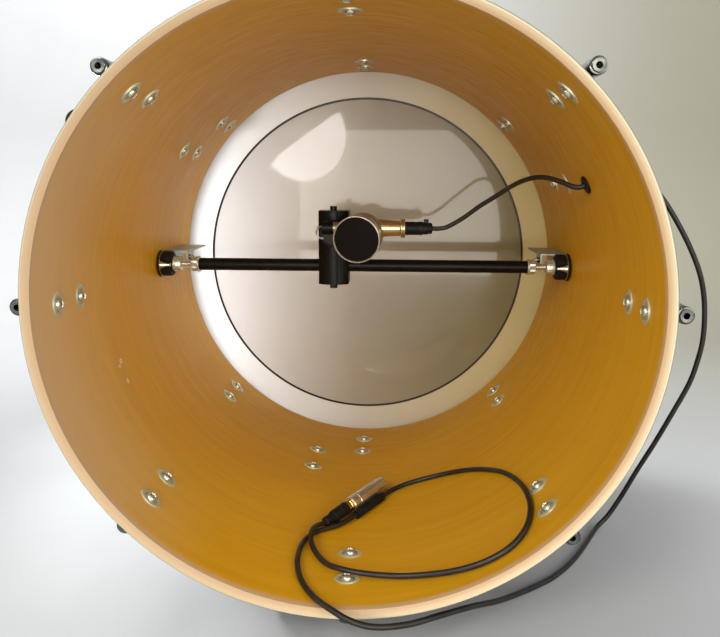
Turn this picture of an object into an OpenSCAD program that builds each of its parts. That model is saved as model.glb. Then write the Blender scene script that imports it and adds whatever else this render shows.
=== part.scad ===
// Bass drum, 22 x 18 in, with the batter head off and a microphone mounted inside.
// Row frame: X to the right, Y along the drum from batter side to front side, Z up.
// The origin is under the middle of the drum, on the surface that it stands on.

/* [Shell] */
// Outer diameter of the shell
shell_d = 558.8; // [555:0.2:562]
// Length of the shell along its axis
shell_len = 457.2; // [450:0.2:460]
// Thickness of the shell wall
shell_wall = 7.4; // [6:0.1:8]

/* [Lugs and rods] */
// Lugs in each row
lug_count = 8; // [8:1:8]
// Diameter of a lug's tube
lug_d = 16; // [15:0.5:17]
// Distance from the shell to a rod's axis
rod_offset = 20.1; // [19:0.1:21]
// Diameter of a tension rod
rod_d = 5.6; // [5:0.1:6]
// Distance between the two screws of a lug
lug_pitch = 45; // [40:1:50]

/* [Front hoop] */
// Width of the wooden hoop along the drum
hoop_w = 38; // [36:1:40]
// Thickness of the wooden hoop
hoop_t = 8; // [7:0.5:9]

/* [Spurs] */
// Diameter of a spur's outer tube
spur_d = 19; // [18:0.5:20]
// Length of a spur's outer tube from its pivot
spur_tube_len = 205; // [180:5:215]
// Diameter of a spur's inner rod
spur_rod_d = 12.7; // [10:0.1:13]

/* [Microphone mount] */
// Diameter of the cross bar
bar_d = 16.5; // [16:0.1:17]
// Length of the cross bar
bar_len = 434; // [430:1:438]
// Height of the clamp block
block_h = 96; // [90:1:100]

/* [Microphone] */
// Diameter of the microphone's face
mic_d = 57; // [54:0.5:58]
// Length of the microphone's body
mic_len = 55; // [50:1:58]
// Diameter of the microphone's cable
cord_d = 5.6; // [5:0.1:6]

/* [Hidden] */
$fn = 96;
shell_r = shell_d / 2;
wall_r = shell_r - shell_wall;
rod_r = shell_r + rod_offset;
axis_z = rod_r + lug_d / 2;
skin = 0.3;

// Places around the shell: angle from +X towards +Z, and distance from the batter edge
lug_angles = [for (i = [0 : lug_count - 1]) i * 360 / lug_count];
batter_lug_depth = 74.5;
front_lug_depth = 384.5;
lug_len = 81;
screw_d = 5.8;
screw_hole_d = 6.4;

spur_pitch = 54;
left_spur_angle = 146;
lower_spur_angle = -103.5;
left_spur_depth = 325;
lower_spur_depth = 319;
spur_hub_d = 34;
spur_axis_r = shell_r + 20.6;
spur_knuckle_t = 20;
spur_pin_d = 10;
spur_head_d = 24;
spur_lean = 90 + lower_spur_angle;
spur_cap_r = (axis_z + (spur_head_d / 2 - 1) * sin(spur_lean)) / cos(spur_lean) - 0.05;
spur_rod_len = 230;
spur_tip_d = 24;

tom_angle = 24.7;
tom_depth = 288;
tom_pitch = 58;
tom_bore_d = 12.8;
tom_top_r = shell_r + 46;

vent_angle = 24.5;
vent_depth = 177;
vent_hole_d = 13;

flesh_depth = shell_len - 18;
hoop_depth = flesh_depth + 9;
hoop_r = shell_r + 3.6;
claw_angles = lug_angles;
claw_t = 2.4;
claw_w = 26;
claw_gap = 0.8;
hoop_front = hoop_depth + hoop_w;
near_y = -(hoop_front + claw_gap + claw_t) / 2;

bar_depth = 325;
bar_z = 4.5;
stud_d = 7.8;
nut_af = 17;
foot_d = 33;
foot_in = 252.4;
foot_out = 267.4;
pad_t = 3;
strap_top = 21;
strap_t = 2;
strap_in = 236;
strap_near = 333;
strap_far = 418;

block_x = -36.5;
block_w = 39;
block_low = -19;
block_front = 305;
block_back = 343;
block_screw_depth = 313.2;
block_stud_z = 48;
fit = 0.06;

swivel_depth = 285;
swivel_z = 57;
pivot_pin_d = 8;
mic_back = [4.3, 294, 51.4];
mic_tilt = 5.8;
mic_pan = 7.4;
ring_t = 2;
neck_x = 26;
neck_end = 51;
socket_end = 56;
plug_end = 90;
plug_d = 17;

// Route of the cable inside the drum, from the plug to the grommet, in the row frame
lead_points = [
    [90, 40.3, 364.5], [98, 40.3, 364.5], [109, 38, 367], [128, 31, 379], [145, 21, 393],
    [162, 10, 405], [178, -3, 417], [192, -17, 425], [205, -33, 428], [217, -47, 425.6],
    [227, -57, 421.2], [234.5, -63.5, 417.9], [239.8, -66.7, 417.2], [244.8, -67.7, 419.1],
    [250.9, -67.7, 421.8]];

// Route of the cable outside the drum and back over its rim, to the line plug
outer_points = [
    [250.9, -67.7, 421.8], [257, -67.7, 424.6], [264, -67.7, 427.8], [277, -67.7, 432],
    [294, -67, 432], [311, -66, 424], [328, -65, 407], [344, -64, 385], [362, -63, 355],
    [377, -61, 323], [386, -57, 290], [389, -54, 252], [386, -51, 222], [380, -48, 195],
    [367, -43, 160], [352, -36, 120], [337, -28, 82], [322, -20, 42], [309, -17, 16],
    [296, -22, 5], [282, -42, 3], [262, -74, 3], [241, -103, 3], [217, -129, 3], [191, -150, 4],
    [168, -170, 8], [146, -191, 15], [120, -211, 22.5], [89, -233, 28], [60, -250, 30.5],
    [30, -260, 34], [8, -259, 38.5], [-12, -247, 41.5], [-28, -231, 41.5], [-42, -209, 42.2],
    [-50, -185, 43.7], [-52, -162, 44], [-50, -140, 43.4], [-45, -126, 42.4], [-38, -115, 41.4],
    [-27, -106, 40.5], [-14, -95.5, 40.2], [2, -76, 40.9], [16.5, -54, 41.6], [31, -32.5, 42.6],
    [44, -16, 43.6], [62, -5, 46.6], [85, -2, 52.8], [110, -8, 62.7], [134, -24, 75.3],
    [153, -48, 87.4], [168, -79, 98.7], [177, -115, 106.4], [180.5, -150, 109.9],
    [178.5, -181, 108.2], [170, -204, 100.4], [154, -216, 88], [131, -218, 73.8],
    [105, -214, 61.5], [78, -207, 52], [52, -201, 45.8], [28, -197, 44], [8, -194, 44.2],
    [-8, -188, 43.8], [-21, -178, 42], [-31, -165, 42], [-39, -150, 43.6], [-43, -136, 46.5],
    [-42.5, -124, 48.3], [-39, -112.5, 47], [-34.8, -105.2, 44.7], [-32, -101, 44]];

// Line plug: where its cable enters, and the way that it lies on the shell's floor
line_plug_rear = [-32, -101, 44];
line_plug_turn = -33.7;
line_plug_tilt = -1.5;
boot_len = 38;
line_ring_len = 9;
barrel_len = 65;
barrel_d = 19;
wrap_from = [2, -76, 40.9];
wrap_to = [31, -32.5, 42.6];

// ---------- helpers ----------

// Drum frame: the batter edge is at y = 0 and the drum's axis at z = 0
module in_drum() { translate([0, near_y, axis_z]) children(); }

// A spot on the shell: z points out of the shell, y along the drum, x round it
module on_shell(angle, depth) {
    in_drum() rotate([0, 90 - angle, 0]) translate([0, depth, 0]) children();
}

// A solid that turns about the drum's axis; its outline is [radius, depth]
module turned(points) { in_drum() rotate([-90, 0, 0]) rotate_extrude() polygon(points); }

// A solid cylinder about the drum's axis, from inside the part to far beyond it
module drum_cylinder(r, from = -50, to = 600) {
    in_drum() translate([0, from, 0]) rotate([-90, 0, 0]) cylinder(r = r, h = to - from, $fn = 360);
}

// A round bar from r1 to r2 along the local z of a spot on the shell
module stem(d, r1, r2) { translate([0, 0, r1]) cylinder(d = d, h = r2 - r1); }

// A round bar along X between two distances, in the drum frame
module x_bar(d, x1, x2, d2 = -1) {
    translate([x1, 0, 0]) rotate([0, 90, 0]) cylinder(d1 = d, d2 = d2 < 0 ? d : d2, h = x2 - x1);
}

// The same piece at the left and the right end of the bar
module both_ends() {
    in_drum() translate([0, bar_depth, bar_z]) for (side = [0, 1]) mirror([side, 0, 0]) children();
}

module lug_spots(depth) { for (a = lug_angles) on_shell(a, depth) children(); }

function lug_screw_depths(depth) = [depth - lug_pitch / 2, depth + lug_pitch / 2];

module every_lug_screw() {
    for (d = concat(lug_screw_depths(batter_lug_depth), lug_screw_depths(front_lug_depth)))
        for (a = lug_angles) on_shell(a, d) children();
}

module every_bracket_screw() {
    for (s = [-1, 1]) {
        on_shell(left_spur_angle, left_spur_depth + s * spur_pitch / 2) children();
        on_shell(lower_spur_angle, lower_spur_depth + s * spur_pitch / 2) children();
        on_shell(tom_angle, tom_depth + s * tom_pitch / 2) children();
    }
}

module both_spurs() {
    on_shell(left_spur_angle, left_spur_depth) children();
    on_shell(lower_spur_angle, lower_spur_depth) children();
}

// A tube along a list of points, with rings square to the route
function unit(v) = v / norm(v);
function way(p, i) = unit(p[min(i + 1, len(p) - 1)] - p[max(i - 1, 0)]);
function across(t) = unit(cross(t, abs(t.z) < 0.8 ? [0, 0, 1] : [0, 1, 0]));
function ring(p, i, r, sides) = let (t = way(p, i), a = across(t), b = cross(t, a))
    [for (k = [0 : sides - 1]) p[i] + r * (cos(k * 360 / sides) * a + sin(k * 360 / sides) * b)];

module tube(points, d, sides = 8) {
    n = len(points);
    rings = [for (i = [0 : n - 1]) each ring(points, i, d / 2, sides)];
    sides_faces = [for (i = [0 : n - 2]) for (k = [0 : sides - 1])
        let (a = i * sides + k, b = i * sides + (k + 1) % sides)
        [a, b, b + sides, a + sides]];
    triangles = [for (f = sides_faces) each [[f[0], f[1], f[2]], [f[0], f[2], f[3]]]];
    start = [for (k = [sides - 1 : -1 : 0]) k];
    end = [for (k = [0 : sides - 1]) (n - 1) * sides + k];
    polyhedron(concat(rings, []), concat(triangles, [start], [end]), convexity = 10);
}

// ---------- shell and front head ----------

module shell() {
    color([0.72, 0.5, 0.2]) difference() {
        turned([
            [wall_r, 5], [shell_r - 2.4, 0], [shell_r - 1.4, 0], [shell_r, 1.4],
            [shell_r, shell_len - 1.4], [shell_r - 1.4, shell_len], [shell_r - 2.4, shell_len],
            [wall_r, shell_len - 5]]);
        every_lug_screw() stem(screw_hole_d, wall_r - 10, shell_r + 10);
        every_bracket_screw() stem(screw_hole_d, wall_r - 10, shell_r + 10);
        on_shell(vent_angle, vent_depth) stem(vent_hole_d, wall_r - 10, shell_r + 10);
    }
}

module vent_grommet() {
    color([0.12, 0.11, 0.1]) on_shell(vent_angle, vent_depth) difference() {
        union() {
            stem(vent_hole_d - 0.1, wall_r - 2, shell_r + 2);
            stem(vent_hole_d + 7, wall_r - 3, wall_r - 0.5);
            stem(vent_hole_d + 7, shell_r + 0.1, shell_r + 3);
        }
        stem(cord_d + 0.2, wall_r - 10, shell_r + 10);
    }
}

// Film over the front edge, and its collar that runs down into its own hoop: two solids, so that
// the flat stays one thin disc
module front_head() {
    t = 0.5;
    turn_r = shell_r + 0.5;
    flat_r = shell_r - 1.9;
    color([0.93, 0.9, 0.86]) {
        turned([[0, shell_len], [flat_r, shell_len], [flat_r, shell_len + t], [0, shell_len + t]]);
        turned([
            [flat_r + 0.1, shell_len], [shell_r - 1.4, shell_len], [turn_r, shell_len - 1.8],
            [turn_r, flesh_depth + 1], [turn_r + t, flesh_depth + 1],
            [turn_r + t, shell_len - 1.5], [shell_r - 1.2, shell_len + t], [flat_r + 0.1, shell_len + t]]);
    }
}

module flesh_hoop() {
    color([0.75, 0.76, 0.77]) turned([
        [shell_r + 1.1, flesh_depth], [shell_r + 9, flesh_depth],
        [shell_r + 9, flesh_depth + 8.8], [shell_r + 1.1, flesh_depth + 8.8]]);
}

module front_hoop() {
    edge = 1.5;
    r1 = hoop_r;
    r2 = hoop_r + hoop_t;
    d1 = hoop_depth;
    d2 = hoop_depth + hoop_w;
    color([0.17, 0.2, 0.18]) turned([
        [r1 + edge, d1], [r2 - edge, d1], [r2, d1 + edge], [r2, d2 - edge],
        [r2 - edge, d2], [r1 + edge, d2], [r1, d2 - edge], [r1, d1 + edge]]);
}

// ---------- lugs, claws and rods ----------

// A round tube on two short posts, bored for its nut and tapped for its screws
module lug(depth) {
    lug_spots(depth) difference() {
        union() {
            translate([0, -lug_len / 2, rod_r]) rotate([-90, 0, 0]) cylinder(d = lug_d, h = lug_len);
            for (s = [-1, 1]) translate([0, s * lug_pitch / 2, 0]) stem(13, shell_r - 3, rod_r);
        }
        translate([0, -lug_len / 2 - 1, rod_r]) rotate([-90, 0, 0]) cylinder(d = 9.2, h = lug_len + 2);
        for (s = [-1, 1]) translate([0, s * lug_pitch / 2, 0]) stem(screw_d + 0.2, shell_r - 5, rod_r - 8);
    }
}

module lugs(depth) { color([0.8, 0.81, 0.82]) difference() { lug(depth); drum_cylinder(shell_r + 1); } }
module batter_lugs() { lugs(batter_lug_depth); }
module front_lugs() { lugs(front_lug_depth); }

module lug_gaskets() {
    color([0.1, 0.1, 0.1]) intersection() {
        difference() { drum_cylinder(shell_r + 1); drum_cylinder(shell_r); }
        every_lug_screw() difference() {
            stem(15, shell_r - 4, shell_r + 4);
            stem(screw_hole_d, shell_r - 5, shell_r + 5);
        }
    }
}

// Nut in the mouth of each lug; side is -1 for a mouth that faces the batter side
module swivel_nuts(depth, side) {
    color([0.85, 0.75, 0.45]) lug_spots(depth) translate([0, side * lug_len / 2, rod_r])
        rotate([90 * side, 0, 0]) difference() {
            union() {
                cylinder(d = 9.1, h = 24);
                translate([0, 0, -1.6]) cylinder(d = 12.5, h = 1.6);
            }
            translate([0, 0, -3]) cylinder(d = rod_d + 2 * fit, h = 40);
        }
}
module batter_swivel_nuts() { swivel_nuts(batter_lug_depth, -1); }
module front_swivel_nuts() { swivel_nuts(front_lug_depth, 1); }

// Hook over the hoop's front edge, with an ear for the rod
ear_depth = hoop_front - 17;
ear_len = 9;
module claw_shape() {
    lip_r = hoop_r - 1.2 - claw_t;
    top_r = hoop_r + hoop_t + 1.2;
    difference() {
        union() {
            translate([-claw_w / 2, hoop_front + claw_gap, lip_r])
                cube([claw_w, claw_t, top_r + claw_t - lip_r]);
            translate([-claw_w / 2, hoop_front - 13, lip_r]) cube([claw_w, 14, claw_t]);
            translate([-claw_w / 2, hoop_front - 24, top_r]) cube([claw_w, 26, claw_t]);
            translate([0, ear_depth, rod_r]) rotate([-90, 0, 0]) cylinder(r = 7.6, h = ear_len);
            translate([-7.6, ear_depth, top_r]) cube([15.2, ear_len, rod_r - top_r]);
        }
        translate([0, ear_depth - 10, rod_r]) rotate([-90, 0, 0]) cylinder(d = 6.8, h = 60);
        translate([0, ear_depth + ear_len, rod_r]) rotate([-90, 0, 0]) cylinder(r = 7.4, h = 30);
    }
}
module claw_hooks() {
    color([0.8, 0.81, 0.82]) for (a = claw_angles) on_shell(a, 0) claw_shape();
}

// Rubber lining between each claw and the hoop
module claw_pads() {
    color([0.08, 0.08, 0.08]) for (a = claw_angles) on_shell(a, 0)
        translate([-claw_w / 2 + 1, hoop_front + 0.05, hoop_r + 0.5])
            cube([claw_w - 2, claw_gap - 0.1, hoop_t - 1]);
}

// Rod with a collar and a square head
module tension_rod(i) {
    collar = ear_depth + ear_len + skin;
    tip = front_lug_depth + lug_len / 2 - 22;
    color([0.78, 0.79, 0.8]) on_shell(lug_angles[i - 1], 0) translate([0, 0, rod_r]) rotate([-90, 0, 0]) {
        translate([0, 0, tip]) cylinder(d = rod_d, h = collar - tip + 0.5);
        translate([0, 0, collar]) cylinder(d = 12.4, h = 1.8);
        translate([0, 0, collar + 1.8]) cylinder(d = 9.6, h = 2.6);
        translate([0, 0, collar + 4]) rotate([0, 0, 45]) cylinder(d = 8.6, h = 5.6, $fn = 4);
    }
}

// ---------- screws and washers inside the shell ----------

// Eye-shaped plate with a hole for its screw; its long way runs round the shell
module eye_plate(long, wide) {
    r = (long * long + wide * wide) / (4 * wide);
    linear_extrude(height = 12) difference() {
        intersection() {
            translate([0, r - wide / 2]) circle(r = r);
            translate([0, wide / 2 - r]) circle(r = r);
        }
        circle(d = screw_hole_d);
    }
}

module curved_washers(t) {
    intersection() {
        difference() { drum_cylinder(wall_r); drum_cylinder(wall_r - t); }
        children();
    }
}

module lug_washers() {
    color([0.62, 0.64, 0.58]) curved_washers(1.4) union() {
        for (d = lug_screw_depths(batter_lug_depth)) for (a = lug_angles)
            on_shell(a, d) translate([0, 0, wall_r - 6]) eye_plate(28, 16);
        for (d = lug_screw_depths(front_lug_depth)) for (a = lug_angles) if (a % 180 != 0)
            on_shell(a, d) translate([0, 0, wall_r - 6]) eye_plate(28, 16);
    }
}

module bracket_washers() {
    color([0.62, 0.64, 0.58]) curved_washers(1.4) every_bracket_screw()
        translate([0, 0, wall_r - 6]) eye_plate(26, 14);
}

// Screw with a domed head; seat is how far its head stands off the wall
module round_head_screw(seat, reach) {
    stem(screw_d, wall_r - seat - 0.5, reach);
    stem(11, wall_r - seat - 1.6, wall_r - seat);
    translate([0, 0, wall_r - seat - 1.6]) mirror([0, 0, 1]) difference() {
        cylinder(d1 = 11, d2 = 7.5, h = 1.8);
        translate([-6, -0.6, 0.9]) cube([12, 1.2, 2]);
        translate([-0.6, -6, 0.9]) cube([1.2, 12, 2]);
    }
}

module lug_screws() {
    color([0.75, 0.76, 0.76]) {
        for (d = lug_screw_depths(batter_lug_depth)) for (a = lug_angles)
            on_shell(a, d) round_head_screw(1.6, shell_r + 11);
        for (d = lug_screw_depths(front_lug_depth)) for (a = lug_angles)
            on_shell(a, d) round_head_screw(a % 180 == 0 ? 3.2 : 1.6, shell_r + 11);
    }
}

module bracket_screws() {
    color([0.75, 0.76, 0.76]) every_bracket_screw() round_head_screw(1.6, shell_r + 4.5);
}

// ---------- brackets and spurs on the outside ----------

// Round-ended base that follows the shell, with two tapped holes
module base_plate(wide, pitch, top_r) {
    difference() {
        union() {
            translate([-wide / 2, -pitch / 2, shell_r - 4]) cube([wide, pitch, top_r - shell_r + 4]);
            for (s = [-1, 1]) translate([0, s * pitch / 2, 0]) stem(wide, shell_r - 4, top_r);
        }
        for (s = [-1, 1]) translate([0, s * pitch / 2, 0]) stem(screw_d + 0.2, shell_r - 6, shell_r + 4.7);
    }
}

module spur_brackets() {
    color([0.78, 0.79, 0.8]) difference() {
        both_spurs() difference() {
            union() {
                base_plate(22, spur_pitch, shell_r + 6);
                stem(spur_hub_d, shell_r - 4, spur_axis_r - spur_knuckle_t / 2 - skin);
                stem(spur_pin_d, shell_r, spur_axis_r + spur_knuckle_t / 2 - 2);
            }
            stem(5.2, shell_r + 8, spur_axis_r + 20);
        }
        drum_cylinder(shell_r + 0.1);
    }
}

// Tube and round knuckle; the tube points to the batter side when it is folded
module spur_leg() {
    color([0.78, 0.79, 0.8]) difference() {
        union() {
            translate([0, 0, spur_axis_r - spur_knuckle_t / 2]) cylinder(d = 30, h = spur_knuckle_t);
            translate([0, -spur_tube_len, spur_axis_r]) rotate([-90, 0, 0]) cylinder(d = spur_d, h = spur_tube_len);
        }
        stem(spur_pin_d + 2 * fit, shell_r, spur_axis_r + 40);
        translate([0, -spur_tube_len - 1, spur_axis_r]) rotate([-90, 0, 0])
            cylinder(d = spur_rod_d + 2 * fit, h = spur_tube_len - 17);
    }
}
module left_spur_leg() { on_shell(left_spur_angle, left_spur_depth) spur_leg(); }
module lower_spur_leg() { on_shell(lower_spur_angle, lower_spur_depth) spur_leg(); }

module spur_rod() {
    color([0.8, 0.81, 0.82]) translate([0, -spur_rod_len - 22, spur_axis_r]) rotate([-90, 0, 0])
        cylinder(d = spur_rod_d, h = spur_rod_len);
}
module left_spur_rod() { on_shell(left_spur_angle, left_spur_depth) spur_rod(); }
module lower_spur_rod() { on_shell(lower_spur_angle, lower_spur_depth) spur_rod(); }

module spur_tip() {
    depth = -spur_rod_len - 22;
    color([0.1, 0.1, 0.1]) translate([0, depth, spur_axis_r]) rotate([90, 0, 0]) difference() {
        union() {
            translate([0, 0, -16]) cylinder(d1 = 18, d2 = spur_tip_d, h = 16);
            cylinder(d = spur_tip_d, h = 5);
            translate([0, 0, 5]) cylinder(d1 = spur_tip_d, d2 = 14, h = 5);
        }
        translate([0, 0, -20]) cylinder(d = spur_rod_d + 0.02, h = 20.02);
    }
}
module left_spur_tip() { on_shell(left_spur_angle, left_spur_depth) spur_tip(); }
module lower_spur_tip() { on_shell(lower_spur_angle, lower_spur_depth) spur_tip(); }

// Bolt that locks the fold: its round head is the outermost point of the spur
module spur_bolt() {
    head_r = spur_axis_r + spur_knuckle_t / 2 + skin;
    color([0.75, 0.76, 0.77]) {
        stem(5, shell_r + 14, head_r + 0.5);
        stem(spur_head_d, head_r, spur_cap_r - 1);
        translate([0, 0, spur_cap_r - 1]) cylinder(d1 = spur_head_d, d2 = spur_head_d - 2, h = 1);
    }
}
module left_spur_bolt() { on_shell(left_spur_angle, left_spur_depth) spur_bolt(); }
module lower_spur_bolt() { on_shell(lower_spur_angle, lower_spur_depth) spur_bolt(); }

// Receiver for a tom arm: base, post with a blind bore, and a boss for the wing screw
module tom_bracket() {
    color([0.78, 0.79, 0.8]) difference() {
        on_shell(tom_angle, tom_depth) difference() {
            union() {
                base_plate(26, tom_pitch, shell_r + 6);
                stem(26, shell_r - 4, tom_top_r);
                translate([0, -24, shell_r + 30]) rotate([-90, 0, 0]) cylinder(d = 16, h = 24);
            }
            stem(tom_bore_d, shell_r + 8, tom_top_r + 1);
            translate([0, -26, shell_r + 30]) rotate([-90, 0, 0]) cylinder(d = 6 + 2 * fit, h = 20);
        }
        drum_cylinder(shell_r + 0.1);
    }
}

module tom_wing_screw() {
    color([0.75, 0.76, 0.77]) on_shell(tom_angle, tom_depth) translate([0, 0, shell_r + 30]) {
        translate([0, -32, 0]) rotate([-90, 0, 0]) cylinder(d = 6, h = 24);
        translate([0, -36, 0]) rotate([-90, 0, 0]) cylinder(d = 13, h = 11);
        for (s = [-1, 1]) hull() {
            translate([s * 4, -33, 0]) rotate([-90, 0, 0]) cylinder(d = 6, h = 5, $fn = 32);
            translate([s * 15, -36, 3]) rotate([-90, 0, 0]) cylinder(d = 8, h = 4, $fn = 32);
        }
    }
}

// ---------- cross bar for the microphone ----------

module cross_bar() {
    color([0.1, 0.1, 0.1]) in_drum() translate([0, bar_depth, bar_z]) difference() {
        x_bar(bar_d, -bar_len / 2, bar_len / 2);
        x_bar(bar_d - 3.2, -bar_len / 2 - 1, bar_len / 2 + 1);
    }
}

// Flanged nut that plugs each end of the bar
module bar_ends() {
    color([0.72, 0.62, 0.38]) both_ends() difference() {
        union() {
            x_bar(bar_d - 3.3, bar_len / 2 - 14, bar_len / 2 + 1);
            x_bar(22, bar_len / 2 + 0.05, bar_len / 2 + 2.2);
            translate([bar_len / 2 + 2, 0, 0]) rotate([0, 90, 0])
                cylinder(d = nut_af / cos(30), h = 8.5, $fn = 6);
        }
        x_bar(stud_d + 0.04, bar_len / 2 - 20, bar_len / 2 + 20);
    }
}

module bar_studs() {
    color([0.78, 0.74, 0.6]) both_ends() x_bar(stud_d, bar_len / 2 - 10, foot_in + 6);
}

module jam_nut(side) {
    color([0.74, 0.66, 0.42]) in_drum() translate([0, bar_depth, bar_z]) mirror([side, 0, 0]) difference() {
        union() {
            translate([241.6, 0, 0]) rotate([0, 90, 0]) cylinder(d = nut_af / cos(30), h = 7.5, $fn = 6);
            x_bar(21, 249, 252.1);
        }
        x_bar(stud_d + 2 * fit, 235, 260);
    }
}
module right_jam_nut() { jam_nut(0); }
module left_jam_nut() { jam_nut(1); }

// Rubber foot with a slot across its front
module wall_feet() {
    color([0.06, 0.06, 0.06]) both_ends() difference() {
        x_bar(foot_d, foot_in, foot_out);
        x_bar(stud_d + 0.04, foot_in - 1, foot_in + 6);
        translate([foot_in - 1, -foot_d, -5.6]) cube([foot_out - foot_in + 2, foot_d - 8, 11.2]);
    }
}

// Tapered pin in the slot of each foot
module foot_pins() {
    color([0.82, 0.83, 0.8]) both_ends() translate([0, -13.6, 0])
        x_bar(4.4, foot_in + 0.6, foot_out - 0.1, 11);
}

module wall_pads() {
    color([0.05, 0.05, 0.05]) both_ends() x_bar(foot_d + 3, foot_out, foot_out + pad_t);
}

// Steel angle from each foot back to the two lug screws behind it
module wall_straps() {
    outer = wall_r - 0.9;
    color([0.55, 0.56, 0.53]) in_drum() for (side = [0, 1]) mirror([side, 0, 0]) difference() {
        union() {
            translate([strap_in, strap_near, strap_top - strap_t])
                cube([outer - strap_in, strap_far - strap_near, strap_t]);
            translate([outer - strap_t, 346, -11]) cube([strap_t, strap_far - 346, strap_top + 11]);
            translate([strap_in, strap_near, -2]) cube([strap_t, 26, strap_top + 2]);
        }
        for (d = lug_screw_depths(front_lug_depth)) translate([0, d, 0]) x_bar(screw_hole_d, 240, 290);
        translate([0, strap_near + 13, bar_z + 4]) x_bar(4.2, 230, 245);
        translate([0, bar_depth, bar_z]) x_bar(foot_d + 3.6, 255, 275);
    }
}

// ---------- clamp and swivel ----------

// Extruded block with a rounded front, two ridges and a bore for the bar
module clamp_block() {
    color([0.07, 0.07, 0.07]) in_drum() difference() {
        translate([block_x, 0, block_low]) linear_extrude(height = block_h) difference() {
            union() {
                intersection() {
                    translate([-block_w / 2, block_front]) square([block_w, block_back - block_front]);
                    translate([0, block_front + 30]) circle(r = 30);
                }
                for (s = [-1, 1]) translate([s * 4.6, block_front + 1.2]) circle(d = 3, $fn = 24);
            }
            translate([-2.6, block_front - 3]) square([5.2, 5]);
        }
        translate([0, bar_depth, bar_z]) x_bar(bar_d + 2 * fit, block_x - 40, block_x + 40);
        translate([block_x, block_screw_depth, block_low - 1]) cylinder(d = 6.1, h = 22);
        translate([block_x, block_screw_depth, block_low + block_h - 21]) cylinder(d = 6.1, h = 22);
        translate([block_x - block_w, bar_depth - 0.8, block_low - 1])
            cube([2 * block_w, 1.6, bar_z - block_low - 4]);
        translate([block_x, 328, block_stud_z]) rotate([90, 0, 0]) cylinder(d = 6.1, h = 40);
    }
}

// Screws in the two ends of the block
module clamp_screw() {
    color([0.1, 0.1, 0.1]) in_drum() translate([block_x, block_screw_depth, 0]) {
        translate([0, 0, block_low]) cylinder(d = 6, h = 20);
        translate([0, 0, block_low - 5]) cylinder(d = 10, h = 4.9, $fn = 6);
        translate([0, 0, block_low - 1]) cylinder(d = 6, h = 2);
        translate([0, 0, block_low + block_h - 20]) cylinder(d = 6, h = 21);
        translate([0, 0, block_low + block_h + 0.05]) cylinder(d = 9, h = 6);
    }
}

// Arm on the front of the block that carries the microphone's pivot
module swivel_arm() {
    arm_l = -48;
    arm_w = 13;
    color([0.08, 0.08, 0.08]) in_drum() difference() {
        union() {
            translate([0, swivel_depth, swivel_z]) x_bar(17, arm_l, arm_l + arm_w);
            translate([arm_l, swivel_depth, swivel_z - 8.5]) cube([arm_w, 11, 17]);
            translate([block_x, 299.2, block_stud_z]) rotate([90, 0, 0]) cylinder(d = 24, h = 6);
            translate([block_x, 304.8, block_stud_z]) rotate([90, 0, 0]) cylinder(d = 16, h = 8);
            translate([block_x, 322, block_stud_z]) rotate([90, 0, 0]) cylinder(d = 6, h = 20);
        }
        translate([0, swivel_depth, swivel_z]) x_bar(pivot_pin_d + 2 * fit, -60, -20);
    }
}

// Knurled ring that locks the arm to the block
module swivel_knob() {
    color([0.16, 0.16, 0.15]) in_drum() translate([block_x, 304.2, block_stud_z]) rotate([90, 0, 0])
        difference() {
            cylinder(d = 35, h = 4.5);
            translate([0, 0, -1]) cylinder(d = 16 + 2 * fit, h = 10);
            for (k = [0 : 23]) rotate([0, 0, k * 15])
                translate([18.1, 0, -1]) cylinder(d = 2.2, h = 8, $fn = 16);
        }
}

// ---------- microphone ----------

// Microphone frame: z points out of the face, the origin is at the back of the body
module in_mic() {
    in_drum() translate(mic_back) rotate([0, 0, -mic_pan]) rotate([90 + mic_tilt, 0, 0]) children();
}

module mic_body() {
    r = mic_d / 2;
    color([0.72, 0.6, 0.4]) difference() {
        union() {
            in_mic() rotate_extrude() polygon([
                [0, 0], [r - 12, 0], [r - 6, 2.5], [r - 2.6, 8], [r - 2.2, 22], [r - 1, 23], [r - 1, 27],
                [r - 2, 28], [r - 2, 34], [r - 0.8, 35], [r - 0.8, mic_len - ring_t],
                [r - 5, mic_len - ring_t], [r - 5, 10], [0, 10]]);
            in_drum() translate([0, swivel_depth, swivel_z]) {
                difference() {
                    union() {
                        x_bar(22.5, 20, neck_end - 0.5, 19);
                        x_bar(24, neck_end - 0.5, socket_end);
                    }
                    x_bar(plug_d - 2, neck_x + 8, socket_end + 1);
                }
                x_bar(14, -34.6, -20);
                x_bar(pivot_pin_d, -47, -24);
            }
        }
        in_mic() translate([0, 0, 10]) cylinder(r = r - 5, h = 80);
    }
}

module mic_capsule() {
    color([0.3, 0.3, 0.3]) in_mic() {
        translate([0, 0, 10.05]) cylinder(d = 34, h = 22);
        translate([0, 0, 32]) cylinder(d = 44, h = 8);
    }
}

module grille_ring() {
    r = mic_d / 2;
    color([0.78, 0.7, 0.56]) in_mic() translate([0, 0, mic_len - ring_t]) difference() {
        union() {
            translate([0, 0, -6]) cylinder(r = r - 5.05, h = 6.1);
            cylinder(r = r, h = ring_t);
        }
        translate([0, 0, -7]) cylinder(r = r - 6.5, h = 12);
        cylinder(r = r - 1.6, h = 12);
    }
}

module grille_mesh() {
    r = mic_d / 2;
    color([0.06, 0.05, 0.04]) in_mic() translate([0, 0, mic_len - ring_t]) {
        translate([0, 0, 0.02]) cylinder(r = r - 1.65, h = 1.2);
    }
}

// Three-pin socket inside the neck
module mic_socket() {
    color([0.15, 0.15, 0.15]) in_drum() translate([0, swivel_depth, swivel_z]) {
        x_bar(plug_d - 2.1, neck_x + 8.1, neck_x + 14);
        for (k = [0 : 2]) rotate([k * 90, 0, 0]) translate([0, 0, 4]) x_bar(2.2, neck_x + 13, neck_x + 24);
    }
}

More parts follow.
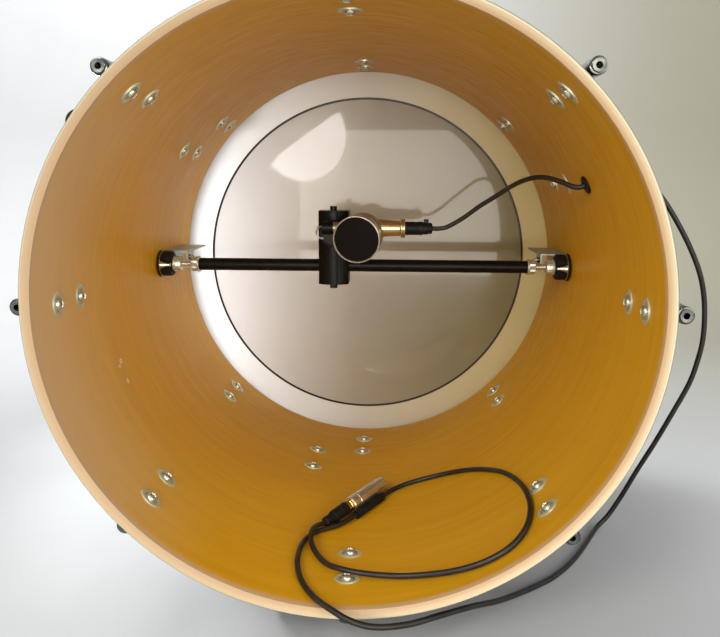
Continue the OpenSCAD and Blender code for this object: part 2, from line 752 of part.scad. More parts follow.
module mic_plug() {
    color([0.06, 0.06, 0.06]) in_drum() translate([0, swivel_depth, swivel_z]) {
        difference() {
            union() {
                x_bar(plug_d, socket_end + skin, plug_end - 12);
                x_bar(plug_d - 1.5, plug_end - 12.5, plug_end - 5);
                x_bar(plug_d - 3, plug_end - 5.5, plug_end);
                x_bar(plug_d - 2.3, neck_x + 25, socket_end + 1);
                translate([plug_end - 11, -3.5, 5]) cube([6, 7, 6.5]);
            }
            x_bar(plug_d - 6, neck_x + 24, neck_x + 27);
        }
    }
}

module mic_lead() { color([0.1, 0.09, 0.08]) tube(lead_points, cord_d); }
module outer_lead() { color([0.1, 0.09, 0.08]) tube(outer_points, cord_d); }

// ---------- line plug on the cable's end ----------

// Line plug frame: x points from the cable to the plug's mouth
module in_line_plug() {
    translate(line_plug_rear) rotate([0, 0, 90 + line_plug_turn]) rotate([0, line_plug_tilt, 0]) children();
}

module line_plug_boot() {
    color([0.07, 0.06, 0.06]) in_line_plug() {
        x_bar(8, 0, 14, 10.5);
        x_bar(13, 13.8, boot_len, 15);
    }
}

module line_plug_ring() {
    color([0.75, 0.58, 0.25]) in_line_plug() x_bar(16.4, boot_len, boot_len + line_ring_len);
}

module line_plug_barrel() {
    start = boot_len + line_ring_len;
    color([0.78, 0.78, 0.75]) in_line_plug() {
        difference() {
            x_bar(barrel_d, start, start + barrel_len);
            x_bar(barrel_d - 3, start + 40, start + barrel_len + 1);
        }
        for (k = [0 : 2]) rotate([k * 90, 0, 0]) translate([0, 0, 4.5]) x_bar(2.4, start + 39, start + 56);
    }
}

// Sleeve round the cable where it runs beside the plug
module cable_wrap() {
    v = wrap_to - wrap_from;
    color([0.05, 0.05, 0.05]) translate(wrap_from) rotate([0, acos(v.z / norm(v)), atan2(v.y, v.x)])
        difference() {
            cylinder(d = 10.4, h = norm(v));
            translate([0, 0, -1]) cylinder(d = cord_d + 1.2, h = norm(v) + 2);
        }
}

shell();
vent_grommet();
lug_gaskets();
batter_lugs();
front_lugs();
batter_swivel_nuts();
front_swivel_nuts();
lug_washers();
lug_screws();
front_head();
flesh_hoop();
front_hoop();
claw_hooks();
claw_pads();
tension_rod(1);  // tension_rod_1
tension_rod(2);  // tension_rod_2
tension_rod(3);  // tension_rod_3
tension_rod(4);  // tension_rod_4
tension_rod(5);  // tension_rod_5
tension_rod(6);  // tension_rod_6
tension_rod(7);  // tension_rod_7
tension_rod(8);  // tension_rod_8
tom_bracket();
tom_wing_screw();
spur_brackets();
left_spur_leg();
lower_spur_leg();
left_spur_rod();
lower_spur_rod();
left_spur_tip();
lower_spur_tip();
left_spur_bolt();
lower_spur_bolt();
bracket_screws();
bracket_washers();
cross_bar();
bar_ends();
bar_studs();
left_jam_nut();
right_jam_nut();
wall_feet();
foot_pins();
wall_pads();
wall_straps();
clamp_block();
clamp_screw();
swivel_arm();
swivel_knob();
mic_body();
mic_capsule();
grille_ring();
grille_mesh();
mic_socket();
mic_plug();
mic_lead();
outer_lead();
line_plug_boot();
line_plug_ring();
line_plug_barrel();
cable_wrap();
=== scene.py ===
"""Bass drum with its batter head off and a microphone mounted inside: looks and light."""
import itertools
import math

import bmesh
import bpy
from mathutils import Matrix, Vector


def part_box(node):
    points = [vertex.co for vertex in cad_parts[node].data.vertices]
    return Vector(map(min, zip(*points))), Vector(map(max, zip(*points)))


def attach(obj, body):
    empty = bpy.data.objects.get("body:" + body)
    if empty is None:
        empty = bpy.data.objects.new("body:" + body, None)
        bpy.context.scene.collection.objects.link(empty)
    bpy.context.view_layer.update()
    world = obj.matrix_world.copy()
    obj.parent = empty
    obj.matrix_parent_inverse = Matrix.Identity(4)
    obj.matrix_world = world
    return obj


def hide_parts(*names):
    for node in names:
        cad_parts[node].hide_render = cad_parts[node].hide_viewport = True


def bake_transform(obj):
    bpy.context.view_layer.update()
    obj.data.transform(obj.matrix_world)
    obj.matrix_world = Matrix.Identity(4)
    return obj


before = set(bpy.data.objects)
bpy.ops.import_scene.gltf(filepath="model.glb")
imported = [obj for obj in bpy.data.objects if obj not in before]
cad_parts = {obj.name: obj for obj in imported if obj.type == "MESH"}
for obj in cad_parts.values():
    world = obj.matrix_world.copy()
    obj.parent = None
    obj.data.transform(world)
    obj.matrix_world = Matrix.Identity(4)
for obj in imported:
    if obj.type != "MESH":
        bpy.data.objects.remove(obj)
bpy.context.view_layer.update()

# ---------- places, in metres, in the CAD's frame ----------

MM = 0.001
low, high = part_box("shell")
SHELL_R = (high[0] - low[0]) / 2
SHELL_LEN = high[1] - low[1]
AXIS_Z = (high[2] + low[2]) / 2
NEAR_Y = low[1]
WALL = 7.4 * MM
WALL_R = SHELL_R - WALL
ROD_R = SHELL_R + 20.1 * MM
LUG_ANGLES = [45 * k for k in range(8)]
BATTER_LUGS, FRONT_LUGS = 74.5, 384.5
LUG_LEN, LUG_PITCH, LUG_R = 81.0, 45.0, 8.0
BAR_DEPTH, BAR_Z = 325.0, 4.5
LEFT_SPUR, LOWER_SPUR = (146.0, 325.0), (-103.5, 319.0)
TOM = (24.7, 288.0)
VENT = (24.5, 177.0)
SPUR_R = SHELL_R + 20.6 * MM
SPUR_LEN = 252.0
SPUR_PITCH, TOM_PITCH = 54.0, 58.0
FILM_T = 0.5
PRINT_R = 235.0
IN_DRUM = Matrix.Translation((0, NEAR_Y, AXIS_Z))
OUT_TO_ROD = Matrix.Translation((0, 0, ROD_R))
TO_X = Matrix.Rotation(math.radians(90), 4, "Y")
TO_LEFT = Matrix.Rotation(math.radians(-90), 4, "Y")
TO_Y = Matrix.Rotation(math.radians(-90), 4, "X")
FLIP = Matrix.Rotation(math.radians(180), 4, "X")


def shift(x, y, z):
    """A move given in millimetres."""
    return Matrix.Translation((x * MM, y * MM, z * MM))


def on_shell(angle, depth, r=0.0):
    """Local z points out of the shell at r metres from its axis, and local y runs along the drum."""
    turn = Matrix.Rotation(math.radians(90 - angle), 4, "Y")
    return IN_DRUM @ turn @ Matrix.Translation((0, depth * MM, r))


def bar_axis(side):
    """Local z runs along the cross bar from its middle towards one end: side is 1 or -1."""
    return IN_DRUM @ shift(0, BAR_DEPTH, BAR_Z) @ (TO_X if side > 0 else TO_LEFT)


MIC = (IN_DRUM @ shift(4.3, 294, 51.4) @ Matrix.Rotation(math.radians(-7.4), 4, "Z")
       @ Matrix.Rotation(math.radians(95.8), 4, "X"))
NECK = IN_DRUM @ shift(0, 285, 57) @ TO_X
LINE_PLUG = (shift(-32, -101, 44) @ Matrix.Rotation(math.radians(90 - 33.7), 4, "Z")
             @ Matrix.Rotation(math.radians(-1.5), 4, "Y") @ TO_X)


# ---------- mesh tools; outlines are in millimetres ----------

def sided(count):
    """How far a regular polygon stands off its own inner circle, by angle."""
    part = 2 * math.pi / count
    return lambda a: 1 / math.cos(a % part - part / 2)


HEX, SQUARE = sided(6), sided(4)
SHARP = math.radians(35)


def knurl(count, depth):
    """Teeth round a ring: how far it stands off its circle, by angle."""
    return lambda a: 1 - depth * (0.5 + 0.5 * math.cos(count * a)) ** 2


class Shape:
    """Points and faces gathered until they become one piece."""

    def __init__(self):
        self.verts, self.faces = [], []

    def add(self, verts, faces, at):
        first = len(self.verts)
        self.verts += [at @ (Vector(v) * MM) for v in verts]
        self.faces += [[first + i for i in face] for face in faces]
        return self

    def lathe(self, outline, at, sides=48, closed=False):
        """Turns an outline of (radius, height) about local z. A third entry shapes the ring."""
        verts, rings = [], []
        for point in outline:
            r, z = point[:2]
            bend = point[2] if len(point) > 2 else None
            if r < 1e-6:
                rings.append([len(verts)])
                verts.append((0, 0, z))
                continue
            rings.append(range(len(verts), len(verts) + sides))
            for k in range(sides):
                a = 2 * math.pi * k / sides
                reach = r * (bend(a) if bend else 1)
                verts.append((reach * math.cos(a), reach * math.sin(a), z))
        faces = []
        pairs = list(zip(rings, rings[1:])) + ([(rings[-1], rings[0])] if closed else [])
        for one, two in pairs:
            for k in range(sides):
                n = (k + 1) % sides
                if len(one) > 1 and len(two) > 1:
                    faces.append([one[k], one[n], two[n], two[k]])
                elif len(one) > 1:
                    faces.append([one[k], one[n], two[0]])
                elif len(two) > 1:
                    faces.append([one[0], two[n], two[k]])
        return self.add(verts, faces, at)

    def sweep(self, points, radius, sides, at=Matrix()):
        """A round wire or cable along points, closed at both ends."""
        points = [Vector(p) for p in points]
        count = len(points)
        ways = [(points[min(i + 1, count - 1)] - points[max(i - 1, 0)]).normalized()
                for i in range(count)]
        side = ways[0].orthogonal().normalized()
        verts, faces = [], []
        for p, way in zip(points, ways):
            side = (side - way * side.dot(way)).normalized()
            up = way.cross(side)
            for k in range(sides):
                a = 2 * math.pi * k / sides
                verts.append(p + (side * math.cos(a) + up * math.sin(a)) * radius)
        for i in range(count - 1):
            for k in range(sides):
                n = (k + 1) % sides
                faces.append([i * sides + k, i * sides + n, (i + 1) * sides + n, (i + 1) * sides + k])
        faces += [list(range(sides))[::-1], list(range((count - 1) * sides, count * sides))]
        return self.add(verts, faces, at)

    def box(self, corner, size, at, edge=0.6):
        """A block with chamfered edges."""
        made = bmesh.new()
        bmesh.ops.create_cube(made, size=1.0)
        for v in made.verts:
            v.co = Vector([corner[k] + size[k] * (v.co[k] + 0.5) for k in range(3)])
        bmesh.ops.bevel(made, geom=made.edges[:], offset=edge, segments=2, profile=0.7, affect="EDGES")
        made.verts.index_update()
        self.add([v.co.copy() for v in made.verts], [[v.index for v in f.verts] for f in made.faces], at)
        made.free()
        return self

    def piece(self, name, body, slot, material, replaces=()):
        """Makes the object, rides it on its body and hides the CAD nodes it replaces."""
        mesh = bpy.data.meshes.new(name)
        made = bmesh.new()
        verts = [made.verts.new(v) for v in self.verts]
        for face in self.faces:
            try:
                made.faces.new([verts[i] for i in face])
            except ValueError:
                pass
        bmesh.ops.recalc_face_normals(made, faces=made.faces[:])
        made.to_mesh(mesh)
        made.free()
        mesh.shade_smooth()
        mesh.set_sharp_from_angle(angle=SHARP)
        mesh.materials.append(material)
        obj = bpy.data.objects.new(name, mesh)
        bpy.context.scene.collection.objects.link(obj)
        if body:
            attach(obj, body)
        if replaces:
            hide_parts(*replaces)
        return obj


def smooth_path(points, step):
    """A Catmull-Rom curve through points, in metres, with about one point each step."""
    points = [Vector(p) * MM for p in points]
    ends = [2 * points[0] - points[1], *points, 2 * points[-1] - points[-2]]
    path = []
    for i in range(1, len(ends) - 2):
        p0, p1, p2, p3 = ends[i - 1:i + 3]
        count = max(2, round((p2 - p1).length / step))
        for k in range(count):
            t = k / count
            path.append(0.5 * (2 * p1 + (p2 - p0) * t + (2 * p0 - 5 * p1 + 4 * p2 - p3) * t * t
                               + (3 * p1 - p0 - 3 * p2 + p3) * t ** 3))
    return path + [points[-1]]


# ---------- materials ----------

class Finish:
    """A Principled material whose colour, roughness and bump vary over the surface."""

    def __init__(self, name, metallic=0.0, coat=0.0, coat_rough=0.1, specular=0.5):
        self.m = bpy.data.materials.new(name)
        self.m.use_nodes = True
        self.nodes, self.links = self.m.node_tree.nodes, self.m.node_tree.links
        self.shader = self.nodes["Principled BSDF"]
        for key, value in (("Metallic", metallic), ("Coat Weight", coat), ("Coat Roughness", coat_rough),
                           ("Specular IOR Level", specular)):
            self.shader.inputs[key].default_value = value
        self.place = self.nodes.new("ShaderNodeTexCoord").outputs["Object"]

    def math(self, what, a, b=None, c=None):
        node = self.nodes.new("ShaderNodeMath")
        node.operation = what
        for k, value in enumerate((a, b, c)):
            if isinstance(value, (int, float)):
                node.inputs[k].default_value = value
            elif value is not None:
                self.links.new(value, node.inputs[k])
        return node.outputs[0]

    def noise(self, scale, stretch=(1, 1, 1), detail=4.0, rough=0.55, twist=0.0):
        mapping = self.nodes.new("ShaderNodeMapping")
        mapping.inputs["Scale"].default_value = stretch
        self.links.new(self.place, mapping.inputs["Vector"])
        node = self.nodes.new("ShaderNodeTexNoise")
        node.inputs["Scale"].default_value = scale
        node.inputs["Detail"].default_value = detail
        node.inputs["Roughness"].default_value = rough
        node.inputs["Distortion"].default_value = twist
        self.links.new(mapping.outputs[0], node.inputs["Vector"])
        return node.outputs["Fac"]

    def band(self, value, start, end, low=0.0, high=1.0):
        """Runs smoothly from low to high as value goes from start to end."""
        node = self.nodes.new("ShaderNodeMapRange")
        node.interpolation_type = "SMOOTHSTEP"
        for key, number in (("From Min", start), ("From Max", end), ("To Min", low), ("To Max", high)):
            node.inputs[key].default_value = number
        self.links.new(value, node.inputs["Value"])
        return node.outputs["Result"]

    def ramp(self, value, *stops):
        node = self.nodes.new("ShaderNodeValToRGB")
        line = node.color_ramp
        while len(line.elements) < len(stops):
            line.elements.new(0.5)
        for element, (at, color) in zip(line.elements, stops):
            element.position, element.color = at, (*color, 1.0)
        self.links.new(value, node.inputs["Fac"])
        return node.outputs["Color"]

    def mix(self, factor, a, b, how="MIX"):
        node = self.nodes.new("ShaderNodeMix")
        node.data_type, node.blend_type = "RGBA", how
        for key, value in ((0, factor), (6, a), (7, b)):
            if isinstance(value, tuple):
                node.inputs[key].default_value = (*value, 1.0)
            elif isinstance(value, (int, float)):
                node.inputs[key].default_value = value
            else:
                self.links.new(value, node.inputs[key])
        return node.outputs[2]

    def radius(self):
        """Distance from the drum's axis, and place along it."""
        split = self.nodes.new("ShaderNodeSeparateXYZ")
        self.links.new(self.place, split.inputs[0])
        x, y, z = split.outputs
        z = self.math("SUBTRACT", z, AXIS_Z)
        return self.math("SQRT", self.math("ADD", self.math("MULTIPLY", x, x),
                                           self.math("MULTIPLY", z, z))), y

    def across(self):
        """Place from left to right."""
        split = self.nodes.new("ShaderNodeSeparateXYZ")
        self.links.new(self.place, split.inputs[0])
        return split.outputs[0]

    def near(self, spot, inner, outer):
        """1 near a place and 0 away from it."""
        node = self.nodes.new("ShaderNodeVectorMath")
        node.operation = "DISTANCE"
        self.links.new(self.place, node.inputs[0])
        node.inputs[1].default_value = spot
        return self.band(node.outputs["Value"], inner, outer, 1.0, 0.0)

    def color(self, value):
        self.links.new(value, self.shader.inputs["Base Color"])

    def rough(self, value, low, high):
        self.links.new(self.band(value, 0.3, 0.7, low, high), self.shader.inputs["Roughness"])

    def glow_through(self, tone, share):
        """Lets light from behind shine through as well, diffused."""
        through = self.nodes.new("ShaderNodeBsdfTranslucent")
        self.links.new(tone, through.inputs["Color"])
        both = self.nodes.new("ShaderNodeMixShader")
        both.inputs[0].default_value = share
        self.links.new(self.shader.outputs[0], both.inputs[1])
        self.links.new(through.outputs[0], both.inputs[2])
        self.links.new(both.outputs[0], self.nodes["Material Output"].inputs["Surface"])
        return self

    def bump(self, value, height, strength=1.0):
        node = self.nodes.new("ShaderNodeBump")
        node.inputs["Distance"].default_value = height
        node.inputs["Strength"].default_value = strength
        self.links.new(value, node.inputs["Height"])
        self.links.new(node.outputs[0], self.shader.inputs["Normal"])
        return self


def plain(name, dark, light, rough, scale, bump=0.0, metallic=0.0, stretch=(1, 1, 1), **more):
    """Metal, plastic or rubber with uneven colour, uneven gloss and a fine surface."""
    f = Finish(name, metallic=metallic, **more)
    f.color(f.ramp(f.noise(scale, stretch), (0.3, dark), (0.7, light)))
    f.rough(f.noise(scale * 2.7, stretch), *rough)
    if bump:
        f.bump(f.noise(scale * 9, stretch, detail=3), bump)
    return f.m


SCRATCHES = ((-162.2, 155.0, 5.0), (-157.3, 152.0, 4.0), (-161.2, 149.0, 3.0))


def shell_finish():
    """Amber lacquer over maple inside, bare bevelled edges, dark satin outside; with a painted haze on the
    left wall near the open end and painted shade on the left of the bare edge.
    """
    f = Finish("maple_shell", specular=0.16)
    # The first colour here is a painted haze: a pale washed-out tone for the left wall near the open end.
    painted_haze_tone, inner_bevel_tone = (0.50, 0.33, 0.17), (0.52, 0.35, 0.19)
    # The first colour here is a painted shade: a darker maple tone for the left side of the bare edge.
    painted_shade_tone, painted = (0.43, 0.305, 0.18), (0.33, 0.34, 0.26)
    r, y = f.radius()
    x = f.across()
    grain = f.noise(2.2, (1.5, 55, 1.5), detail=7, rough=0.62, twist=0.25)
    fine = f.noise(6.0, (2.5, 150, 2.5), detail=4, rough=0.6)
    cloud = f.noise(5.5, (1, 1.6, 1), detail=3)
    amber = f.ramp(grain, (0.28, (0.51, 0.252, 0.004)), (0.5, (0.55, 0.278, 0.005)),
                   (0.75, (0.59, 0.306, 0.009)))
    amber = f.mix(0.25, amber, f.ramp(fine, (0.35, (0.74, 0.72, 0.70)), (0.65, (1, 1, 1))), "MULTIPLY")
    amber = f.mix(0.25, amber, f.ramp(cloud, (0.35, (0.86, 0.76, 0.60)), (0.65, (1, 1, 1))), "MULTIPLY")
    # Painted haze: the left wall near the open end is washed towards a pale tone, standing in for flare from
    # the bright left.
    painted_haze_mask = f.math("MULTIPLY", f.band(x, -0.27, -0.12, 0.85, 0.0),
                  f.band(y, NEAR_Y, NEAR_Y + 0.20, 1.0, 0.0))
    amber = f.mix(painted_haze_mask, amber, painted_haze_tone)
    ragged = f.math("ADD", y, f.math("MULTIPLY", f.math("SUBTRACT", fine, 0.5), 0.004))
    bare = f.band(ragged, NEAR_Y + 6.0 * MM, NEAR_Y + 14 * MM, 1.0, 0.0)
    bare = f.math("MAXIMUM", bare, f.band(y, NEAR_Y + SHELL_LEN - 7 * MM, NEAR_Y + SHELL_LEN - 5 * MM))
    maple = f.ramp(fine, (0.3, (0.60, 0.49, 0.32)), (0.7, (0.66, 0.55, 0.37)))
    # Darker towards the inner edge of the bevel.
    maple = f.mix(f.band(r, WALL_R + 0.5 * MM, WALL_R + 4.5 * MM), inner_bevel_tone, maple)
    # Painted shade: the bare edge darkens towards the left, where less light falls on it.
    maple = f.mix(f.band(x, -0.2, 0.28, 0.75, 0.0), maple, painted_shade_tone)
    brim = f.math("MULTIPLY", f.band(r, SHELL_R - 1.9 * MM, SHELL_R - 1.3 * MM),
                  f.band(y, NEAR_Y + 1.0 * MM, NEAR_Y + 2.0 * MM, 1.0, 0.0))
    maple = f.mix(brim, maple, painted)
    inside = f.mix(bare, amber, maple)
    for angle, depth, size in SCRATCHES:
        mark = f.near(on_shell(angle, depth, WALL_R).translation, 0.3 * size * MM, size * MM)
        mark = f.math("MULTIPLY", mark, f.band(f.noise(420, (1, 0.5, 1)), 0.42, 0.56))
        inside = f.mix(mark, inside, (0.72, 0.58, 0.46))
    paint = f.ramp(f.noise(14), (0.35, (0.020, 0.026, 0.023)), (0.65, (0.032, 0.040, 0.035)))
    outside = f.band(r, SHELL_R - 0.5 * MM, SHELL_R - 0.2 * MM)
    f.color(f.mix(outside, inside, paint))
    rough = f.band(f.noise(30, (1, 4, 1)), 0.3, 0.7, 0.36, 0.50)
    rough = f.math("ADD", rough, f.math("MULTIPLY", bare, 0.2))
    f.links.new(rough, f.shader.inputs["Roughness"])
    return f.bump(grain, 0.15 * MM, 0.3).m


def film_finish():
    """Translucent film with a printed ring and a paler border, which lets light through, and painted light
    and shade in its colour: bright on the left, darker olive on the right.
    """
    f = Finish("coated_film", coat=1.0, coat_rough=0.03)
    r, _ = f.radius()
    mist = f.noise(6.0, detail=3)
    # Painted light and shade: the film's colour runs from bright grey on the left, where light shines through
    # it, to a darker olive on the right.
    across = f.math("MULTIPLY_ADD", f.across(), 0.6 / WALL_R, 0.5)
    misty = f.ramp(mist, (0.3, (0.94, 0.94, 0.94)), (0.7, (1, 1, 1)))
    clear = f.ramp(across, (0.0, (0.70, 0.69, 0.69)), (0.46, (0.41, 0.36, 0.29)),
                   (0.95, (0.26, 0.215, 0.095)))
    clear = f.mix(1.0, clear, misty, "MULTIPLY")
    border = f.ramp(across, (0.0, (0.78, 0.79, 0.80)), (0.5, (0.58, 0.53, 0.46)), (1.0, (0.58, 0.49, 0.27)))
    tone = f.mix(f.band(r, (PRINT_R + 0.5) * MM, (PRINT_R + 2.0) * MM), clear, border)
    off = f.math("ABSOLUTE", f.math("SUBTRACT", r, PRINT_R * MM))
    line = f.band(off, 1.4 * MM, 1.8 * MM, 1.0, 0.0)
    tone = f.mix(line, tone, (0.025, 0.022, 0.015))
    f.color(tone)
    f.rough(f.noise(18), 0.16, 0.24)
    f.bump(f.noise(3.0, detail=2), 0.6 * MM, 0.35)
    return f.glow_through(tone, 0.5).m


def cord_finish():
    """Satin black jacket."""
    f = Finish("cable_jacket", specular=0.35)
    f.color(f.ramp(f.noise(60, detail=5), (0.3, (0.008, 0.006, 0.004)), (0.7, (0.020, 0.016, 0.011))))
    f.rough(f.noise(90), 0.34, 0.5)
    return f.bump(f.noise(900, detail=2), 0.05 * MM, 0.4).m


def hoop_finish():
    """Dark green-grey lacquer over wood grain."""
    f = Finish("hoop_lacquer", coat=0.4, coat_rough=0.2)
    grain = f.noise(2.0, (2, 70, 2), detail=6, rough=0.6)
    f.color(f.ramp(grain, (0.3, (0.018, 0.024, 0.021)), (0.7, (0.045, 0.055, 0.046))))
    f.rough(f.noise(40, (1, 3, 1)), 0.3, 0.42)
    return f.bump(grain, 0.15 * MM, 0.4).m


def paper_finish():
    """White paper with painted shade: it darkens towards the camera on the left, and falls off to olive grey
    towards the wall on the right.
    """
    f = Finish("pale_paper")
    _, y = f.radius()
    white = f.ramp(f.noise(3), (0.3, (0.55, 0.56, 0.57)), (0.7, (0.58, 0.59, 0.60)))
    # Painted shade: the floor darkens towards the camera, the paper darkens to olive grey towards the wall,
    # and the second takes over towards the right.
    close = f.mix(f.band(y, -0.6, 1.0, 0.8, 0.0), white, (0.255, 0.26, 0.26))
    grey = f.mix(f.band(y, -0.3, 1.0), (0.54, 0.56, 0.58), (0.345, 0.330, 0.255))
    f.color(f.mix(f.band(f.across(), -0.2, 1.2), close, grey))
    f.rough(f.noise(4), 0.7, 0.8)
    return f.m


def grille_finish():
    """Blackened wire."""
    f = Finish("grille_wire", specular=0.08)
    f.color(f.ramp(f.noise(300, detail=2), (0.3, (0.004, 0.002, 0.001)), (0.7, (0.014, 0.008, 0.005))))
    f.rough(f.noise(500), 0.35, 0.5)
    return f.m


wood = shell_finish()
film = film_finish()
jacket = cord_finish()
hoop_wood = hoop_finish()
grille = grille_finish()
chrome = plain("chrome", (0.62, 0.63, 0.63), (0.74, 0.75, 0.74), (0.07, 0.16), 45, metallic=1.0)
dark_chrome = plain("lug_chrome", (0.07, 0.075, 0.07), (0.12, 0.125, 0.12), (0.10, 0.20), 45, metallic=1.0)
nut_steel = plain("nut_steel", (0.14, 0.15, 0.13), (0.22, 0.23, 0.20), (0.2, 0.3), 90, metallic=1.0)
screw_zinc = plain("zinc_screw", (0.42, 0.44, 0.34), (0.66, 0.66, 0.54), (0.22, 0.32), 160, 0.0, 0.85)
steel = plain("bright_steel", (0.50, 0.51, 0.48), (0.66, 0.66, 0.62), (0.16, 0.30), 160, 0.02 * MM, 1.0)
zinc = plain("zinc_plate", (0.42, 0.45, 0.31), (0.56, 0.58, 0.44), (0.34, 0.48), 120, 0.04 * MM, 0.55)
galvanised = plain("galvanised_steel", (0.28, 0.30, 0.25), (0.46, 0.48, 0.41), (0.45, 0.6), 70,
                   0.05 * MM, 0.5)
aluminium = plain("aluminium", (0.60, 0.61, 0.62), (0.70, 0.71, 0.72), (0.28, 0.4), 60, 0.02 * MM, 1.0,
                  (1, 8, 1))
brass = plain("dull_brass", (0.44, 0.43, 0.33), (0.60, 0.59, 0.49), (0.22, 0.34), 150, 0.02 * MM, 0.6)
gold = plain("gold_plate", (0.62, 0.42, 0.13), (0.80, 0.60, 0.25), (0.16, 0.28), 120, 0.01 * MM, 1.0)
champagne = plain("champagne_paint", (0.24, 0.19, 0.11), (0.34, 0.28, 0.18), (0.28, 0.38), 220,
                  0.015 * MM, 0.75, coat=0.3)
pale_gold = plain("champagne_ring", (0.30, 0.25, 0.19), (0.38, 0.33, 0.26), (0.24, 0.34), 200,
                  0.01 * MM, 0.8)
neck_gold = plain("champagne_neck", (0.48, 0.37, 0.20), (0.58, 0.46, 0.27), (0.20, 0.26), 12, 0.0, 0.9)
nickel = plain("satin_nickel", (0.64, 0.59, 0.48), (0.74, 0.69, 0.58), (0.16, 0.24), 60, 0.0, 0.9)
rubber = plain("black_rubber", (0.005, 0.004, 0.003), (0.012, 0.010, 0.008), (0.50, 0.68), 90,
               0.12 * MM, specular=0.15)
black_paint = plain("black_paint", (0.003, 0.0025, 0.002), (0.006, 0.005, 0.004), (0.26, 0.4), 80,
                    0.03 * MM, specular=0.12)
plastic = plain("black_plastic", (0.004, 0.0035, 0.003), (0.010, 0.009, 0.008), (0.34, 0.5), 140,
                0.05 * MM, specular=0.15)
foam = plain("black_foam", (0.004, 0.003, 0.003), (0.008, 0.005, 0.004), (0.8, 0.95), 400, 0.3 * MM,
             specular=0.05)
dull_steel = plain("capsule_metal", (0.10, 0.10, 0.10), (0.16, 0.16, 0.15), (0.4, 0.55), 100,
                   0.02 * MM, 1.0)


# ---------- cables ----------

LEAD = [
    (90, 40.3, 364.5), (98, 40.3, 364.5), (109, 38, 367), (128, 31, 379), (145, 21, 393),
    (162, 10, 405), (178, -3, 417), (192, -17, 425), (205, -33, 428), (217, -47, 425.6),
    (227, -57, 421.2), (234.5, -63.5, 417.9), (239.8, -66.7, 417.2), (244.8, -67.7, 419.1),
    (250.9, -67.7, 421.8)]
OUTER = [
    (250.9, -67.7, 421.8), (257, -67.7, 424.6), (264, -67.7, 427.8), (277, -67.7, 432),
    (294, -67, 432), (311, -66, 424), (328, -65, 407), (344, -64, 385), (362, -63, 355),
    (377, -61, 323), (386, -57, 290), (389, -54, 252), (386, -51, 222), (380, -48, 195),
    (367, -43, 160), (352, -36, 120), (337, -28, 82), (322, -20, 42), (309, -17, 16),
    (296, -22, 5), (282, -42, 3), (262, -74, 3), (241, -103, 3), (217, -129, 3), (191, -150, 4),
    (168, -170, 8), (146, -191, 15), (120, -211, 22.5), (89, -233, 28), (60, -250, 30.5),
    (30, -260, 34), (8, -259, 38.5), (-12, -247, 41.5), (-28, -231, 41.5), (-42, -209, 42.2),
    (-50, -185, 43.7), (-52, -162, 44), (-50, -140, 43.4), (-45, -126, 42.4), (-38, -115, 41.4),
    (-27, -106, 40.5), (-14, -95.5, 40.2), (2, -76, 40.9), (16.5, -54, 41.6), (31, -32.5, 42.6),
    (44, -16, 43.6), (62, -5, 46.6), (85, -2, 52.8), (110, -8, 62.7), (134, -24, 75.3),
    (153, -48, 87.4), (168, -79, 98.7), (177, -115, 106.4), (180.5, -150, 109.9),
    (178.5, -181, 108.2), (170, -204, 100.4), (154, -216, 88), (131, -218, 73.8),
    (105, -214, 61.5), (78, -207, 52), (52, -201, 45.8), (28, -197, 44), (8, -194, 44.2),
    (-8, -188, 43.8), (-21, -178, 42), (-31, -165, 42), (-39, -150, 43.6), (-43, -136, 46.5),
    (-42.5, -124, 48.3), (-39, -112.5, 47), (-34.8, -105.2, 44.7), (-32, -101, 44)]
CORD_D = 5.6 * MM


def cable(name, points, replaces):
    path = smooth_path(points, 4 * MM)
    made = Shape().sweep([p / MM for p in path], CORD_D / 2 / MM, 16)
    return made.piece(name, None, "cord", jacket, replaces), path


